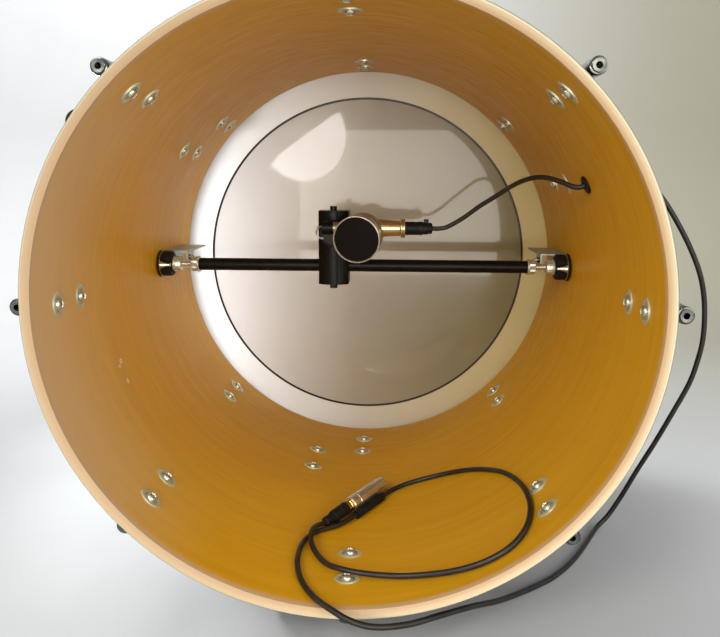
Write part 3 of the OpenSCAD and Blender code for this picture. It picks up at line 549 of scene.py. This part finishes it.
def line_plug():
    """Boot with ribs, clip, gold ring and nickel barrel on the cable's end."""
    boot = [(0, 0), (4.0, 0), (4.2, 1)]
    for k in range(4):
        z = 2 + k * 3.0
        boot += [(5.4, z), (5.4, z + 1.8), (4.5, z + 2.1), (4.5, z + 2.8)]
    boot += [(6.3, 14.4), (6.9, 16), (7.1, 25), (6.6, 25.4), (6.6, 26.6), (7.2, 27), (7.5, 37.4),
             (7.0, 38), (0, 38)]
    shape = Shape().lathe(boot, LINE_PLUG)
    shape.box((5.5, -2.5, 17), (2.6, 5, 9), LINE_PLUG, 0.5)
    pieces = [shape.piece("line_boot", "drum", "black_rubber", rubber, ["line_plug_boot"])]
    ring = [(6, 38.02), (8.0, 38.02), (8.2, 38.6), (8.2, 41), (7.7, 41.4), (7.7, 43), (8.2, 43.4),
            (8.2, 46.4), (8.0, 47), (6, 47)]
    pieces.append(Shape().lathe(ring, LINE_PLUG, closed=True)
                  .piece("line_ring", "drum", "brass", gold, ["line_plug_ring"]))
    barrel = [(0, 47.05), (8.8, 47.05), (9.5, 47.9), (9.5, 58), (9.2, 58.3), (9.2, 59.1), (9.5, 59.4),
              (9.5, 111.2), (9.1, 112), (8.4, 112), (8.0, 111.5), (8.0, 87), (0, 87)]
    shape = Shape().lathe(barrel, LINE_PLUG, 64)
    for k in range(3):
        spin = Matrix.Rotation(math.radians(90 * k), 4, "Z") @ shift(4.5, 0, 0)
        shape.lathe([(0, 86), (1.2, 86), (1.2, 102), (0.8, 103), (0, 103)], LINE_PLUG @ spin, 20)
    shape.box((8.7, -2.2, 70), (1.2, 4.4, 12), LINE_PLUG, 0.3)
    pieces.append(shape.piece("line_barrel", "drum", "nickel", nickel, ["line_plug_barrel"]))
    wrap = [Vector((2, -76, 40.9)), Vector((31, -32.5, 42.6))]
    way = wrap[1] - wrap[0]
    at = Matrix.Translation(wrap[0] * MM) @ way.to_track_quat("Z", "Y").to_matrix().to_4x4()
    long = way.length
    tube = [(3.4, 0), (4.9, 0), (5.2, 0.6)]
    for k in range(8):
        z = 2.0 + k * (long - 6) / 8
        tube += [(5.2, z), (4.85, z + 0.8), (5.2, z + 1.6)]
    tube += [(5.2, long - 0.6), (4.9, long), (3.4, long)]
    pieces.append(Shape().lathe(tube, at, closed=True)
                  .piece("wrap_sleeve", "drum", "black_rubber", rubber, ["cable_wrap"]))
    return pieces


lead, lead_path = cable("cable_inside", LEAD, ["mic_lead"])
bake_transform(lead)
outer, outer_path = cable("cable_outside", OUTER, ["outer_lead"])
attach(outer, "drum")
line_plug()


# ---------- drum ----------

def dress(node, material, edge):
    """Gives a CAD node its finish, and softens its edges."""
    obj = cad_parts[node]
    for slot in obj.material_slots:
        slot.material = material
    if edge:
        mod = obj.modifiers.new("edges", "BEVEL")
        mod.width, mod.segments, mod.limit_method = edge * MM, 2, "ANGLE"
        mod.angle_limit = math.radians(32)


def front_film():
    """Flat film that turns over the bearing edge into its collar, down to its hem."""
    r = SHELL_R / MM
    flat, hem = SHELL_LEN / MM, 440.4
    outline = [(0, flat), (60, flat), (120, flat), (180, flat), (232, flat), (262, flat), (r - 2.0, flat),
               (r - 1.4, flat + 0.02), (r + 0.05, flat - 1.1), (r + 0.5, flat - 2.2), (r + 0.5, hem),
               (r + 1.0, hem), (r + 1.0, flat - 1.9), (r + 0.55, flat - 0.7), (r - 0.5, flat + 0.3),
               (r - 1.4, flat + FILM_T), (262, flat + FILM_T), (120, flat + FILM_T), (0, flat + FILM_T)]
    Shape().lathe(outline, IN_DRUM @ TO_Y, 256).piece("film", "drum", "head_film", film, ["front_head"])


def one_lug(shape, at):
    """Tube with turned ends on two flared posts."""
    half, r = LUG_LEN / 2, LUG_R
    end = [(4.65, half - 0.4), (5.2, half), (r - 1.2, half), (r - 0.35, half - 0.3), (r, half - 1.2),
           (r, half - 4.4), (r - 0.45, half - 4.7), (r - 0.45, half - 5.6), (r, half - 5.9)]
    tube = [(wide, -z) for wide, z in end] + end[::-1]
    shape.lathe(tube, at @ OUT_TO_ROD @ TO_Y, closed=True)
    for side in (-1, 1):
        foot = SHELL_R / MM + 1.05
        post = [(0, foot - 0.6), (6.9, foot - 0.6), (7.0, foot + 0.5), (6.4, foot + 1.6), (5.6, foot + 3.2),
                (5.3, foot + 6.5), (5.6, foot + 9.5), (6.5, foot + 13), (0, foot + 13.5)]
        shape.lathe(post, at @ shift(0, side * LUG_PITCH / 2, 0), 40)


def all_lugs():
    """Both rows of lugs, and the nuts in their mouths."""
    for name, depth in (("batter_lugs", BATTER_LUGS), ("front_lugs", FRONT_LUGS)):
        shape = Shape()
        for angle in LUG_ANGLES:
            one_lug(shape, on_shell(angle, depth))
        shape.piece(name[:-1] + "_tubes", "drum", "chrome", dark_chrome, [name])
    nut = [(2.95, -1.4), (5.6, -1.6), (6.15, -1.2), (6.25, -0.6), (6.25, 0), (4.5, 0.05), (4.5, 23.6),
           (4.2, 24), (2.95, 24)]
    for name, depth, side in (("batter", BATTER_LUGS, -1), ("front", FRONT_LUGS, 1)):
        shape = Shape()
        for angle in LUG_ANGLES:
            at = on_shell(angle, depth) @ shift(0, side * LUG_LEN / 2, 0)
            at = at @ OUT_TO_ROD @ Matrix.Rotation(math.radians(90 * side), 4, "X")
            shape.lathe(nut, at, 36, closed=True)
        shape.piece(name + "_nuts", "drum", "chrome", nut_steel, [name + "_swivel_nuts"])


def eye_plate(shape, at, long, wide):
    """Curved eye-shaped plate on the wall with two short slots beside its screw."""
    inner, thick = WALL_R / MM - 0.05, 1.35
    r = (long * long + wide * wide) / (4 * wide)
    across, rows, slot = 30, 9, (5.6, 7.7)
    verts, faces = [], []
    for layer in (0, 1):
        for i in range(across + 1):
            u = -long / 2 + long * i / across
            half = max(math.sqrt(max(r * r - u * u, 0)) - (r - wide / 2), 0.12)
            half -= 0.25 * layer
            for j in range(rows + 1):
                v = half * (2 * j / rows - 1)
                lift = inner - thick * layer - 0.35 * layer * math.exp(-(u / 4.2) ** 2)
                verts.append((lift * math.sin(u / inner), v, lift * math.cos(u / inner)))
    cut = set()
    for i in range(across):
        u = abs(-long / 2 + long * (i + 0.5) / across)
        if slot[0] < u < slot[1]:
            cut |= {(i, j) for j in range(2, rows - 2)}
    step = (across + 1) * (rows + 1)

    def wall(a, b):
        faces.append([a, b, b + step, a + step])
    for i in range(across):
        for j in range(rows):
            a, b = i * (rows + 1) + j, (i + 1) * (rows + 1) + j
            if (i, j) in cut:
                continue
            faces.append([a, a + 1, b + 1, b])
            faces.append([step + a, step + b, step + b + 1, step + a + 1])
            if j == 0 or (i, j - 1) in cut:
                wall(a, b)
            if j == rows - 1 or (i, j + 1) in cut:
                wall(b + 1, a + 1)
            if i == 0 or (i - 1, j) in cut:
                wall(a + 1, a)
            if i == across - 1 or (i + 1, j) in cut:
                wall(b, b + 1)
    shape.add(verts, faces, at)


ON_WASHER, ON_STRAP = 1.9, 3.2


def cross_head(shape, at, seat, reach):
    """Domed screw head with a pressed cross, seat mm off the wall, and its shank out to radius reach."""
    top = WALL_R / MM - seat
    size, rise, cells = 5.5, 3.0, 22
    slot, arm_len, deep = 0.55, 2.6, 1.5
    at = at @ Matrix.Translation((0, 0, top * MM))
    verts, faces = [], []
    for i in range(cells + 1):
        for j in range(cells + 1):
            a, b = 2 * i / cells - 1, 2 * j / cells - 1
            x, y = a * math.sqrt(1 - b * b / 2) * size, b * math.sqrt(1 - a * a / 2) * size
            far = min(math.hypot(x, y) / size, 1.0)
            z = rise * (1 - far ** 3.2) ** 0.55 + 0.35
            upright = max(abs(x) - slot, 0) + max(abs(y) - arm_len, 0)
            level = max(abs(y) - slot, 0) + max(abs(x) - arm_len, 0)
            z -= deep * max(0.0, 1 - min(upright, level) / 0.28) * max(0, 1 - far * 0.6)
            verts.append((x, y, -z))
    for i in range(cells):
        for j in range(cells):
            a = i * (cells + 1) + j
            faces.append([a, a + 1, a + cells + 2, a + cells + 1])
    shape.add(verts, faces, at)
    skirt = [(size, -0.35), (size, 0), (2.9, 0), (2.9, reach - top), (0, reach - top)]
    shape.lathe(skirt, at, 28)


def lug_screw_places():
    """Angle, depth, and whether a strap of the microphone's mount sits there."""
    for depth in (BATTER_LUGS, FRONT_LUGS):
        for side in (-1, 1):
            for angle in LUG_ANGLES:
                yield angle, depth + side * LUG_PITCH / 2, depth == FRONT_LUGS and angle % 180 == 0


def bracket_screw_places():
    for (angle, depth), pitch in ((LEFT_SPUR, SPUR_PITCH), (LOWER_SPUR, SPUR_PITCH), (TOM, TOM_PITCH)):
        for side in (-1, 1):
            yield angle, depth + side * pitch / 2


def screws_and_washers():
    """Every screw head and washer on the shell's inner wall."""
    plates, screws = Shape(), Shape()
    for angle, depth, strapped in lug_screw_places():
        at = on_shell(angle, depth)
        cross_head(screws, at, ON_STRAP if strapped else ON_WASHER, SHELL_R / MM + 11)
        if not strapped:
            eye_plate(plates, at, 25.5, 17)
    plates.piece("eye_washers", "drum", "zinc", zinc, ["lug_washers"])
    screws.piece("cross_screws", "drum", "chrome", screw_zinc, ["lug_screws"])
    plates, screws = Shape(), Shape()
    for angle, depth in bracket_screw_places():
        at = on_shell(angle, depth)
        cross_head(screws, at, ON_WASHER, SHELL_R / MM + 4.5)
        eye_plate(plates, at, 26, 14)
    plates.piece("bracket_eye_washers", "drum", "zinc", zinc, ["bracket_washers"])
    screws.piece("bracket_cross_screws", "drum", "chrome", screw_zinc, ["bracket_screws"])


def tension_rods():
    """Threaded rod, collar, washer and square head."""
    tip, thread_end, collar = FRONT_LUGS + LUG_LEN / 2 - 22, 452, 478.5
    thread = [(0, tip), (2.0, tip), (2.6, tip + 0.8)]
    z = tip + 1.2
    while z < thread_end:
        thread += [(2.8, z), (2.35, z + 0.5)]
        z += 1.0
    head = thread + [(2.75, thread_end + 1.5), (2.75, collar), (5.9, collar), (6.2, collar + 0.3),
                     (6.2, collar + 1.5), (5.8, collar + 1.8), (4.7, collar + 2.0), (4.8, collar + 3.2),
                     (4.4, collar + 4.3),
                     (3.0, collar + 4.5, SQUARE), (3.05, collar + 4.9, SQUARE), (3.05, collar + 9.1, SQUARE),
                     (2.7, collar + 9.6, SQUARE), (0, collar + 9.6)]
    for k, angle in enumerate(LUG_ANGLES):
        at = on_shell(angle, 0) @ OUT_TO_ROD @ TO_Y
        name = "tension_rod_%d" % (k + 1)
        Shape().lathe(head, at, 32).piece("t_rod_%d" % (k + 1), "rod_%d" % (k + 1), "chrome", chrome, [name])


def grommet():
    """Rubber ring in the vent hole, which the cable passes through."""
    hole, inner, outer = 6.45, WALL_R / MM, SHELL_R / MM
    ring = [(2.95, inner - 2.6), (3.4, inner - 3.0), (8.8, inner - 3.0), (9.7, inner - 2.4),
            (10, inner - 1.4), (9.8, inner - 0.55), (hole, inner - 0.5), (hole, outer + 0.2),
            (9.8, outer + 0.2), (10, outer + 1.2), (9.7, outer + 2.5), (8.8, outer + 3.0),
            (3.4, outer + 3.0), (2.95, outer + 2.6)]
    Shape().lathe(ring, on_shell(*VENT), closed=True).piece(
        "grommet", "drum", "black_rubber", rubber, ["vent_grommet"])


def spur_parts():
    """Rubber tips with grooves, and the spurs' lock bolts."""
    for name, (angle, depth) in (("left", LEFT_SPUR), ("lower", LOWER_SPUR)):
        at = on_shell(angle, depth) @ Matrix.Translation((0, -SPUR_LEN * MM, SPUR_R)) @ TO_Y @ FLIP
        tip = [(6.37, -16), (8.6, -16), (9.1, -15.2), (10.2, -9), (10.9, -4), (11.6, -2.5), (12, -1.5),
               (12, 0.4), (11.3, 0.8), (11.3, 1.6), (12, 2.0), (12, 3.0), (11.3, 3.4), (11.3, 4.2),
               (12, 4.6), (11.6, 6.4), (9.6, 8.8), (7.2, 9.9), (0, 10), (0, 0.02), (6.37, 0.02)]
        Shape().lathe(tip, at).piece(name + "_rubber_tip", name + "_extension", "black_rubber",
                                         rubber, [name + "_spur_tip"])
        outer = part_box(name + "_spur_bolt")
        reach = bolt_reach(angle, outer) / MM
        head = SPUR_R / MM + 10.3
        teeth = knurl(30, 0.035)
        bolt = [(0, SHELL_R / MM + 14), (2.5, SHELL_R / MM + 14), (2.5, head), (11.2, head),
                (11.95, head + 0.5, teeth), (11.95, reach - 1.3, teeth), (11.0, reach - 0.1),
                (7.5, reach - 0.1), (6.8, reach - 0.7), (0, reach - 0.7)]
        Shape().lathe(bolt, on_shell(angle, depth), 180).piece(
            name + "_knob", name + "_bolt", "chrome", chrome, [name + "_spur_bolt"])


def bolt_reach(angle, box):
    """How far a spur's bolt reaches from the axis, from its CAD box."""
    a = math.radians(angle)
    face = 11.0 * MM
    if abs(math.sin(a)) > 0.9:
        return (AXIS_Z - box[0][2] - face * abs(math.cos(a))) / abs(math.sin(a))
    return (-box[0][0] - face * abs(math.sin(a))) / abs(math.cos(a))


# ---------- bar, feet and straps ----------

def bar_fittings():
    """Nuts in the bar's ends, threaded studs, jam nuts, and rubber feet with pins, plates and pads."""
    af, thread_end, pin_forward = 8.5, 257.6, 13.6
    ends, studs, feet, plates, pins, pads = (Shape() for _ in range(6))
    for side in (-1, 1):
        at = bar_axis(side)
        nut = [(3.95, 203.5), (6.5, 203.5), (6.6, 204), (6.6, 217.1), (10.2, 217.1), (10.8, 217.4),
               (11, 218), (10.8, 218.8), (10.1, 219.2), (af * 1.04, 219.3), (af, 219.9, HEX),
               (af, 226.9, HEX), (af * 0.98, 227.5), (5.2, 227.5), (3.95, 226.9)]
        ends.lathe(nut, at, 60, closed=True)
        thread = [(0, 207), (3.4, 207)]
        z = 207.5
        while z < thread_end:
            thread += [(3.9, z), (3.35, z + 0.6)]
            z += 1.25
        studs.lathe(thread + [(3.4, thread_end + 0.8), (0, thread_end + 0.8)], at, 32)
        foot = [(0, 252.5), (12.8, 252.5), (14.9, 253.0), (16.2, 254.4), (16.5, 256), (16.5, 265.2),
                (16.2, 266.2), (0, 266.2)]
        feet.lathe(foot, at, 64)
        plates.lathe([(0, 266.25), (16.9, 266.25), (17.2, 266.6), (17.2, 267.0), (16.9, 267.35),
                      (0, 267.35)], at, 64)
        cone = [(0, 252.8), (1.7, 252.8), (2.3, 253.3), (2.6, 255.5), (3.2, 258), (4.2, 261), (5.0, 263.6),
                (5.5, 265.4), (5.5, 266.2), (0, 266.2)]
        pins.lathe(cone, shift(0, -pin_forward, 0) @ at, 40)
        pads.lathe([(0, 267.4), (17.2, 267.4), (17.9, 267.9), (18, 268.8), (17.8, 269.8), (17, 270.3),
                    (0, 270.3)], at, 64)
        jam = [(3.98, 241.6), (5.2, 241.6), (af * 0.98, 241.6), (af, 242.2, HEX), (af, 248.3, HEX),
               (af * 1.04, 248.8), (9.6, 249.1), (10.3, 249.5), (10.5, 250.5), (10.2, 251.7), (9.6, 252.1),
               (3.98, 252.1)]
        name = "right" if side > 0 else "left"
        Shape().lathe(jam, at, 60, closed=True).piece(name + "_lock_nut", name + "_nut", "brass", brass,
                                                      [name + "_jam_nut"])
    ends.piece("bar_end_nuts", "drum", "brass", brass, ["bar_ends"])
    studs.piece("threaded_studs", "drum", "nickel", nickel, ["bar_studs"])
    pins.piece("taper_pins", "drum", "chrome", steel, ["foot_pins"])
    pads.piece("pads", "drum", "black_rubber", rubber, ["wall_pads"])
    plates.piece("foot_plates", "drum", "chrome", steel)
    cups = feet.piece("rubber_feet", "drum", "black_rubber", rubber, ["wall_feet"])
    slot_feet(cups)


def slot_feet(cups):
    """Cuts the slot across the front of each foot."""
    cutter = Shape()
    for side in (-1, 1):
        centre = side * 259.5
        cutter.box((centre - 9, -22, -5.6), (18, 13.5, 11.2), IN_DRUM @ shift(0, BAR_DEPTH, BAR_Z), 1.0)
    knife = cutter.piece("slot_cutter", "drum", "black_rubber", rubber)
    mod = cups.modifiers.new("slot", "BOOLEAN")
    mod.operation, mod.object, mod.solver = "DIFFERENCE", knife, "EXACT"
    graph = bpy.context.evaluated_depsgraph_get()
    mesh = bpy.data.meshes.new_from_object(cups.evaluated_get(graph))
    cups.modifiers.clear()
    cups.data = mesh
    mesh.shade_smooth()
    mesh.set_sharp_from_angle(angle=SHARP)
    bpy.data.objects.remove(knife)


def strap_bits():
    """Small screw and spring under the near inner corner of each strap."""
    screws, springs = Shape(), Shape()
    for side in (-1, 1):
        at = IN_DRUM @ shift(side * 236.2, 341, 12)
        turn = Matrix.Rotation(math.radians(-90 * side), 4, "Y")
        screws.lathe([(0, 3.1), (2.2, 3.1), (3.3, 2.2), (3.6, 0.4), (3.6, 0.1), (0, 0.1)], at @ turn, 28)
        coil = []
        for k in range(61):
            a = 2 * math.pi * k / 12
            coil.append((side * (232.6 - k * 0.10), 331.0 + 1.9 * math.cos(a), 13.5 + 1.9 * math.sin(a)))
        springs.sweep(coil, 0.42, 8, IN_DRUM)
        springs.sweep([(side * 232.6, 332.9, 13.5), (side * 234.4, 334.6, 14.2), (side * 236.6, 336.5, 15.5)],
                      0.42, 8, IN_DRUM)
    screws.piece("strap_screws", "drum", "black_metal", black_paint)
    springs.piece("strap_springs", "drum", "nickel", steel)


# ---------- clamp ----------

def clamp_parts():
    """Knurled lock ring and the bent wires beside it."""
    teeth = knurl(36, 0.03)
    knob = [(8.08, 0.4), (8.6, 0), (16.2, 0), (17.4, 0.7, teeth), (17.4, 3.8, teeth), (16.2, 4.5),
            (13.5, 4.5), (13.0, 4.1), (10.4, 4.1), (9.9, 4.5), (8.6, 4.5), (8.08, 4.1)]
    at = IN_DRUM @ shift(-36.5, 304.2, 48) @ TO_Y @ FLIP
    Shape().lathe(knob, at, 216, closed=True).piece("knurled_ring", "knob", "black_plastic", plastic,
                                                    ["swivel_knob"])
    wires = Shape()
    for size, depth, lean in ((8.2, 297.0, 0.0), (7.2, 298.6, 0.5)):
        turn = [math.radians(80 + 230 * k / 30) for k in range(31)]
        wires.sweep([(-49.5 + size * math.cos(a), depth + lean * math.sin(a * 2), 50.0 + size * math.sin(a))
                     for a in turn], 0.55, 8, IN_DRUM)
    wires.sweep([(-58.0, 296.0, 57.2), (-53, 295.4, 57.6), (-48, 294.4, 57.4)], 0.5, 8, IN_DRUM)
    wires.piece("spring_wires", "mic_mount", "black_metal", steel)


# ---------- microphone ----------

def microphone():
    """Turned body with its neck and pivot pin, and the ring round its face."""
    body = [(0, 0), (14.5, 0), (16.5, 0.3), (21, 1.6), (22.5, 2.5), (24.6, 5.2), (25.9, 8), (26.1, 9),
            (26.1, 13.2), (25.6, 13.5), (25.6, 14.1), (26.1, 14.4), (26.3, 21.6), (26.6, 22.4),
            (27.5, 22.9), (27.5, 26.9), (27.1, 27.6), (26.5, 28.0), (26.5, 33.6), (26.9, 34.4), (27.7, 34.9)]
    for z in (39.6, 46.6):
        body += [(27.7, z), (27.2, z + 0.3), (27.2, z + 1.1), (27.7, z + 1.4)]
    body += [(27.7, 52.9), (23.5, 52.9), (23.5, 10), (0, 10)]
    shape = Shape().lathe(body, MIC, 96)
    neck = [(0, 22), (11.25, 22), (11.2, 26), (10.6, 32), (10.0, 39), (9.5, 47.6), (9.6, 49.4),
            (10.6, 50.3), (11.8, 50.6), (12, 51.2), (12, 52.4), (11.2, 52.8), (11.2, 53.4), (12, 53.8),
            (12, 55.4), (11.6, 56), (8.2, 56), (7.5, 55.4), (7.5, 34), (0, 34)]
    pin = [(0, -47), (3.6, -47), (4, -46.6), (4, -34.6), (6.4, -34.6), (7, -34), (7, -20), (0, -20)]
    shape.lathe(pin, NECK, 40)
    shape.piece("mic_shell", "microphone", "champagne", champagne, ["mic_body"])
    Shape().lathe(neck, NECK, 64).piece("mic_neck", "microphone", "champagne", neck_gold)
    ring = [(22.0, 47), (23.45, 47), (23.45, 53), (28.0, 53.02), (28.45, 53.4), (28.5, 54.2), (28.3, 54.8),
            (27.8, 55), (27.2, 54.9), (26.9, 54.4), (26.9, 53.12), (22.0, 53.1)]
    Shape().lathe(ring, MIC, 96, closed=True).piece("mic_face_ring", "microphone", "champagne",
                                                    pale_gold, ["grille_ring"])
    face_grille()
    socket_and_plug()


FOAM_TOP = 53.75


def face_grille():
    """Hexagonal wire mesh, slightly crowned, over black foam."""
    reach, pitch, crown, wire, opening = 26.7, 1.9, 0.55, 0.45, 0.74
    row_gap, corner = pitch * 0.866, pitch / 1.732
    rows = int(reach / row_gap) + 2
    verts, faces = [], []
    for i, j in itertools.product(range(-rows, rows + 1), repeat=2):
        cx, cy = pitch * (j + 0.5 * (i % 2)), row_gap * i
        if math.hypot(cx, cy) > reach - 0.9:
            continue
        outer_ring = []
        for k in range(6):
            a = math.radians(60 * k + 30)
            x, y = cx + corner * math.cos(a), cy + corner * math.sin(a)
            far = min(math.hypot(x, y) / reach, 1)
            outer_ring.append(Vector((x, y, FOAM_TOP + crown * (1 - far * far))))
        centre = sum(outer_ring, Vector()) / 6
        inner = [centre + (p - centre) * opening for p in outer_ring]
        first = len(verts)
        for drop in (0, wire):
            verts += [p - Vector((0, 0, drop)) for p in outer_ring]
            verts += [p - Vector((0, 0, drop)) for p in inner]
        for k in range(6):
            n = (k + 1) % 6
            for a, b in ((0, 6), (18, 12), (6, 18), (12, 0)):
                faces.append([first + a + k, first + a + n, first + b + n, first + b + k])
    Shape().add(verts, faces, MIC).piece("mic_grille", "microphone", "mesh", grille, ["grille_mesh"])
    pad = [(0, FOAM_TOP), (15, 53.58), (22, 53.38), (26.6, 53.2), (26.8, 53.14), (0, 53.14)]
    Shape().lathe(pad, MIC, 72).piece("mic_foam", "microphone", "mesh", foam)


def socket_and_plug():
    """Three pins in the neck, and the ribbed plug that covers them."""
    shape = Shape().lathe([(0, 34.1), (7.2, 34.1), (7.4, 34.5), (7.4, 39.6), (7.2, 40), (0, 40)], NECK, 40)
    for k in range(3):
        spin = Matrix.Rotation(math.radians(90 * k), 4, "Z") @ shift(-4, 0, 0)
        shape.lathe([(0, 39), (1.1, 39), (1.1, 49.4), (0.7, 50), (0, 50)], NECK @ spin, 16)
    shape.piece("mic_inner_socket", "microphone", "black_plastic", plastic, ["mic_socket"])
    plug = [(5.6, 51), (7.2, 51), (7.35, 51.4), (7.35, 56.4), (8.3, 56.4), (8.5, 56.9), (8.5, 60.0),
            (8.1, 60.4)]
    for k in range(5):
        z = 61 + k * 2.4
        plug += [(8.1, z), (8.5, z + 0.3), (8.5, z + 1.5), (8.1, z + 1.8)]
    plug += [(8.5, 73.6), (8.5, 77.6), (8.1, 78), (7.7, 78.2), (7.7, 84.4), (7.3, 84.8), (6.9, 85.2),
             (6.9, 88.6), (6.0, 89.6), (4.2, 90), (2.85, 90), (2.85, 88), (5.6, 76)]
    shape = Shape().lathe(plug, NECK, closed=True)
    shape.box((-11.5, -3.4, 79), (6.4, 6.8, 6), NECK, 0.7)
    shape.piece("mic_connector", "microphone", "black_plastic", plastic, ["mic_plug"])


# ---------- stage, light and camera ----------

def set_piece(name, verts, faces, material):
    """A thing of the studio and not of the drum, from points in metres."""
    mesh = bpy.data.meshes.new(name)
    mesh.from_pydata([tuple(v) for v in verts], [], faces)
    mesh.materials.append(material)
    obj = bpy.data.objects.new(name, mesh)
    bpy.context.scene.collection.objects.link(obj)
    return obj


def backdrop():
    """Paper floor that sweeps up into a wall behind the drum."""
    near, far, wide, rise, bend, steps = -4.0, 1.6, 4.0, 2.6, 0.6, 8
    profile = [(near, 0), (far - bend, 0)]
    for k in range(1, steps + 1):
        a = math.radians(90 * k / steps)
        profile.append((far - bend + bend * math.sin(a), bend - bend * math.cos(a)))
    profile.append((far, rise))
    verts = [(side * wide, y, z) for y, z in profile for side in (-1, 1)]
    faces = [[2 * k, 2 * k + 1, 2 * k + 3, 2 * k + 2] for k in range(len(profile) - 1)]
    set_piece("floor", verts, faces, paper_finish()).data.shade_smooth()


def umbrella():
    """Half-round white panel behind the camera, which the film mirrors."""
    centre, reach, taller = Vector((-0.3311, -1.5, 0.598)), 0.172, 1.04
    turn, count = math.radians(34.4), 28
    verts = [centre]
    for k in range(count + 1):
        a = turn - math.pi * k / count
        verts.append(centre + Vector((math.cos(a) * reach, 0, math.sin(a) * reach * taller)))
    glow = bpy.data.materials.new("umbrella_glow")
    glow.use_nodes = True
    shader = glow.node_tree.nodes["Principled BSDF"]
    shader.inputs["Base Color"].default_value = (0, 0, 0, 1)
    shader.inputs["Emission Color"].default_value = (1, 0.97, 0.93, 1)
    shader.inputs["Emission Strength"].default_value = 17.0
    obj = set_piece("umbrella", verts, [[0, k + 1, k + 2] for k in range(count)], glow)
    obj.visible_camera = False
    obj.visible_shadow = False


def area(name, place, target, size, power, color=(1, 1, 1), spread=180):
    """A square lamp of so many watts that faces a target; its spread is in degrees."""
    data = bpy.data.lights.new(name, "AREA")
    data.energy, data.size, data.color = power, size, color
    data.spread = math.radians(spread)
    obj = bpy.data.objects.new(name, data)
    obj.location = place
    obj.rotation_euler = (Vector(target) - Vector(place)).to_track_quat("-Z", "Y").to_euler()
    bpy.context.scene.collection.objects.link(obj)


def lights():
    """Soft light from the front and below, and one lamp behind that shines through the film."""
    scene = bpy.context.scene
    scene.view_settings.view_transform = "Standard"
    world = bpy.data.worlds.new("room")
    world.use_nodes = True
    sky = world.node_tree.nodes["Background"]
    sky.inputs["Color"].default_value = (0.93, 0.96, 1.0, 1)
    sky.inputs["Strength"].default_value = 0.76
    scene.world = world
    drum = (0, 0, AXIS_Z)
    area("key", (-1.5, -2.2, 1.9), drum, 1.2, 41, (1, 0.95, 0.88))
    area("fill", (1.6, -2.0, 0.9), drum, 1.6, 30, (1, 0.93, 0.84))
    area("low", (0.1, -1.8, 0.15), drum, 1.0, 20, (1, 0.93, 0.84))
    area("behind", (-0.60, 0.66, 0.40), (-0.23, 0.21, 0.30), 0.3, 4.6, (0.96, 0.98, 1), 75)
    area("back", (-0.9, 1.2, 2.2), (-0.6, 1.5, 0.4), 1.4, 42)


def camera():
    """The view into the open end, with the small shift of a picture cropped off centre."""
    data = bpy.data.cameras.new("camera")
    data.lens, data.sensor_width, data.sensor_fit = 33.05, 36.0, "HORIZONTAL"
    data.shift_x, data.shift_y = -0.0128, -0.0478
    place = (0.0442, -0.7894, 0.4235)
    obj = bpy.data.objects.new("camera", data)
    right = Vector((0.99918, 0.04031, 0.00487)).normalized()
    ahead = Vector((-0.03907, 0.98715, -0.15496)).normalized()
    up = right.cross(ahead)
    turn = Matrix((right, up, -ahead)).transposed().to_4x4()
    obj.matrix_world = Matrix.Translation(place) @ turn
    bpy.context.scene.collection.objects.link(obj)
    bpy.context.scene.camera = obj


front_film()
all_lugs()
screws_and_washers()
tension_rods()
grommet()
spur_parts()
bar_fittings()
strap_bits()
clamp_parts()
microphone()
for node, material, edge in (
        ("shell", wood, 0), ("front_hoop", hoop_wood, 0.8), ("flesh_hoop", aluminium, 0.8),
        ("lug_gaskets", plastic, 0), ("claw_hooks", chrome, 0.6), ("claw_pads", rubber, 0),
        ("tom_bracket", chrome, 0.8), ("tom_wing_screw", chrome, 0.5), ("spur_brackets", chrome, 0.8),
        ("left_spur_leg", chrome, 0.7), ("lower_spur_leg", chrome, 0.7), ("left_spur_rod", chrome, 0),
        ("lower_spur_rod", chrome, 0), ("cross_bar", black_paint, 0.4), ("wall_straps", galvanised, 0.4),
        ("clamp_block", black_paint, 0.6), ("clamp_screw", black_paint, 0.4),
        ("swivel_arm", black_paint, 0.6), ("mic_capsule", dull_steel, 0.4)):
    dress(node, material, edge)
backdrop()
umbrella()
lights()
camera()
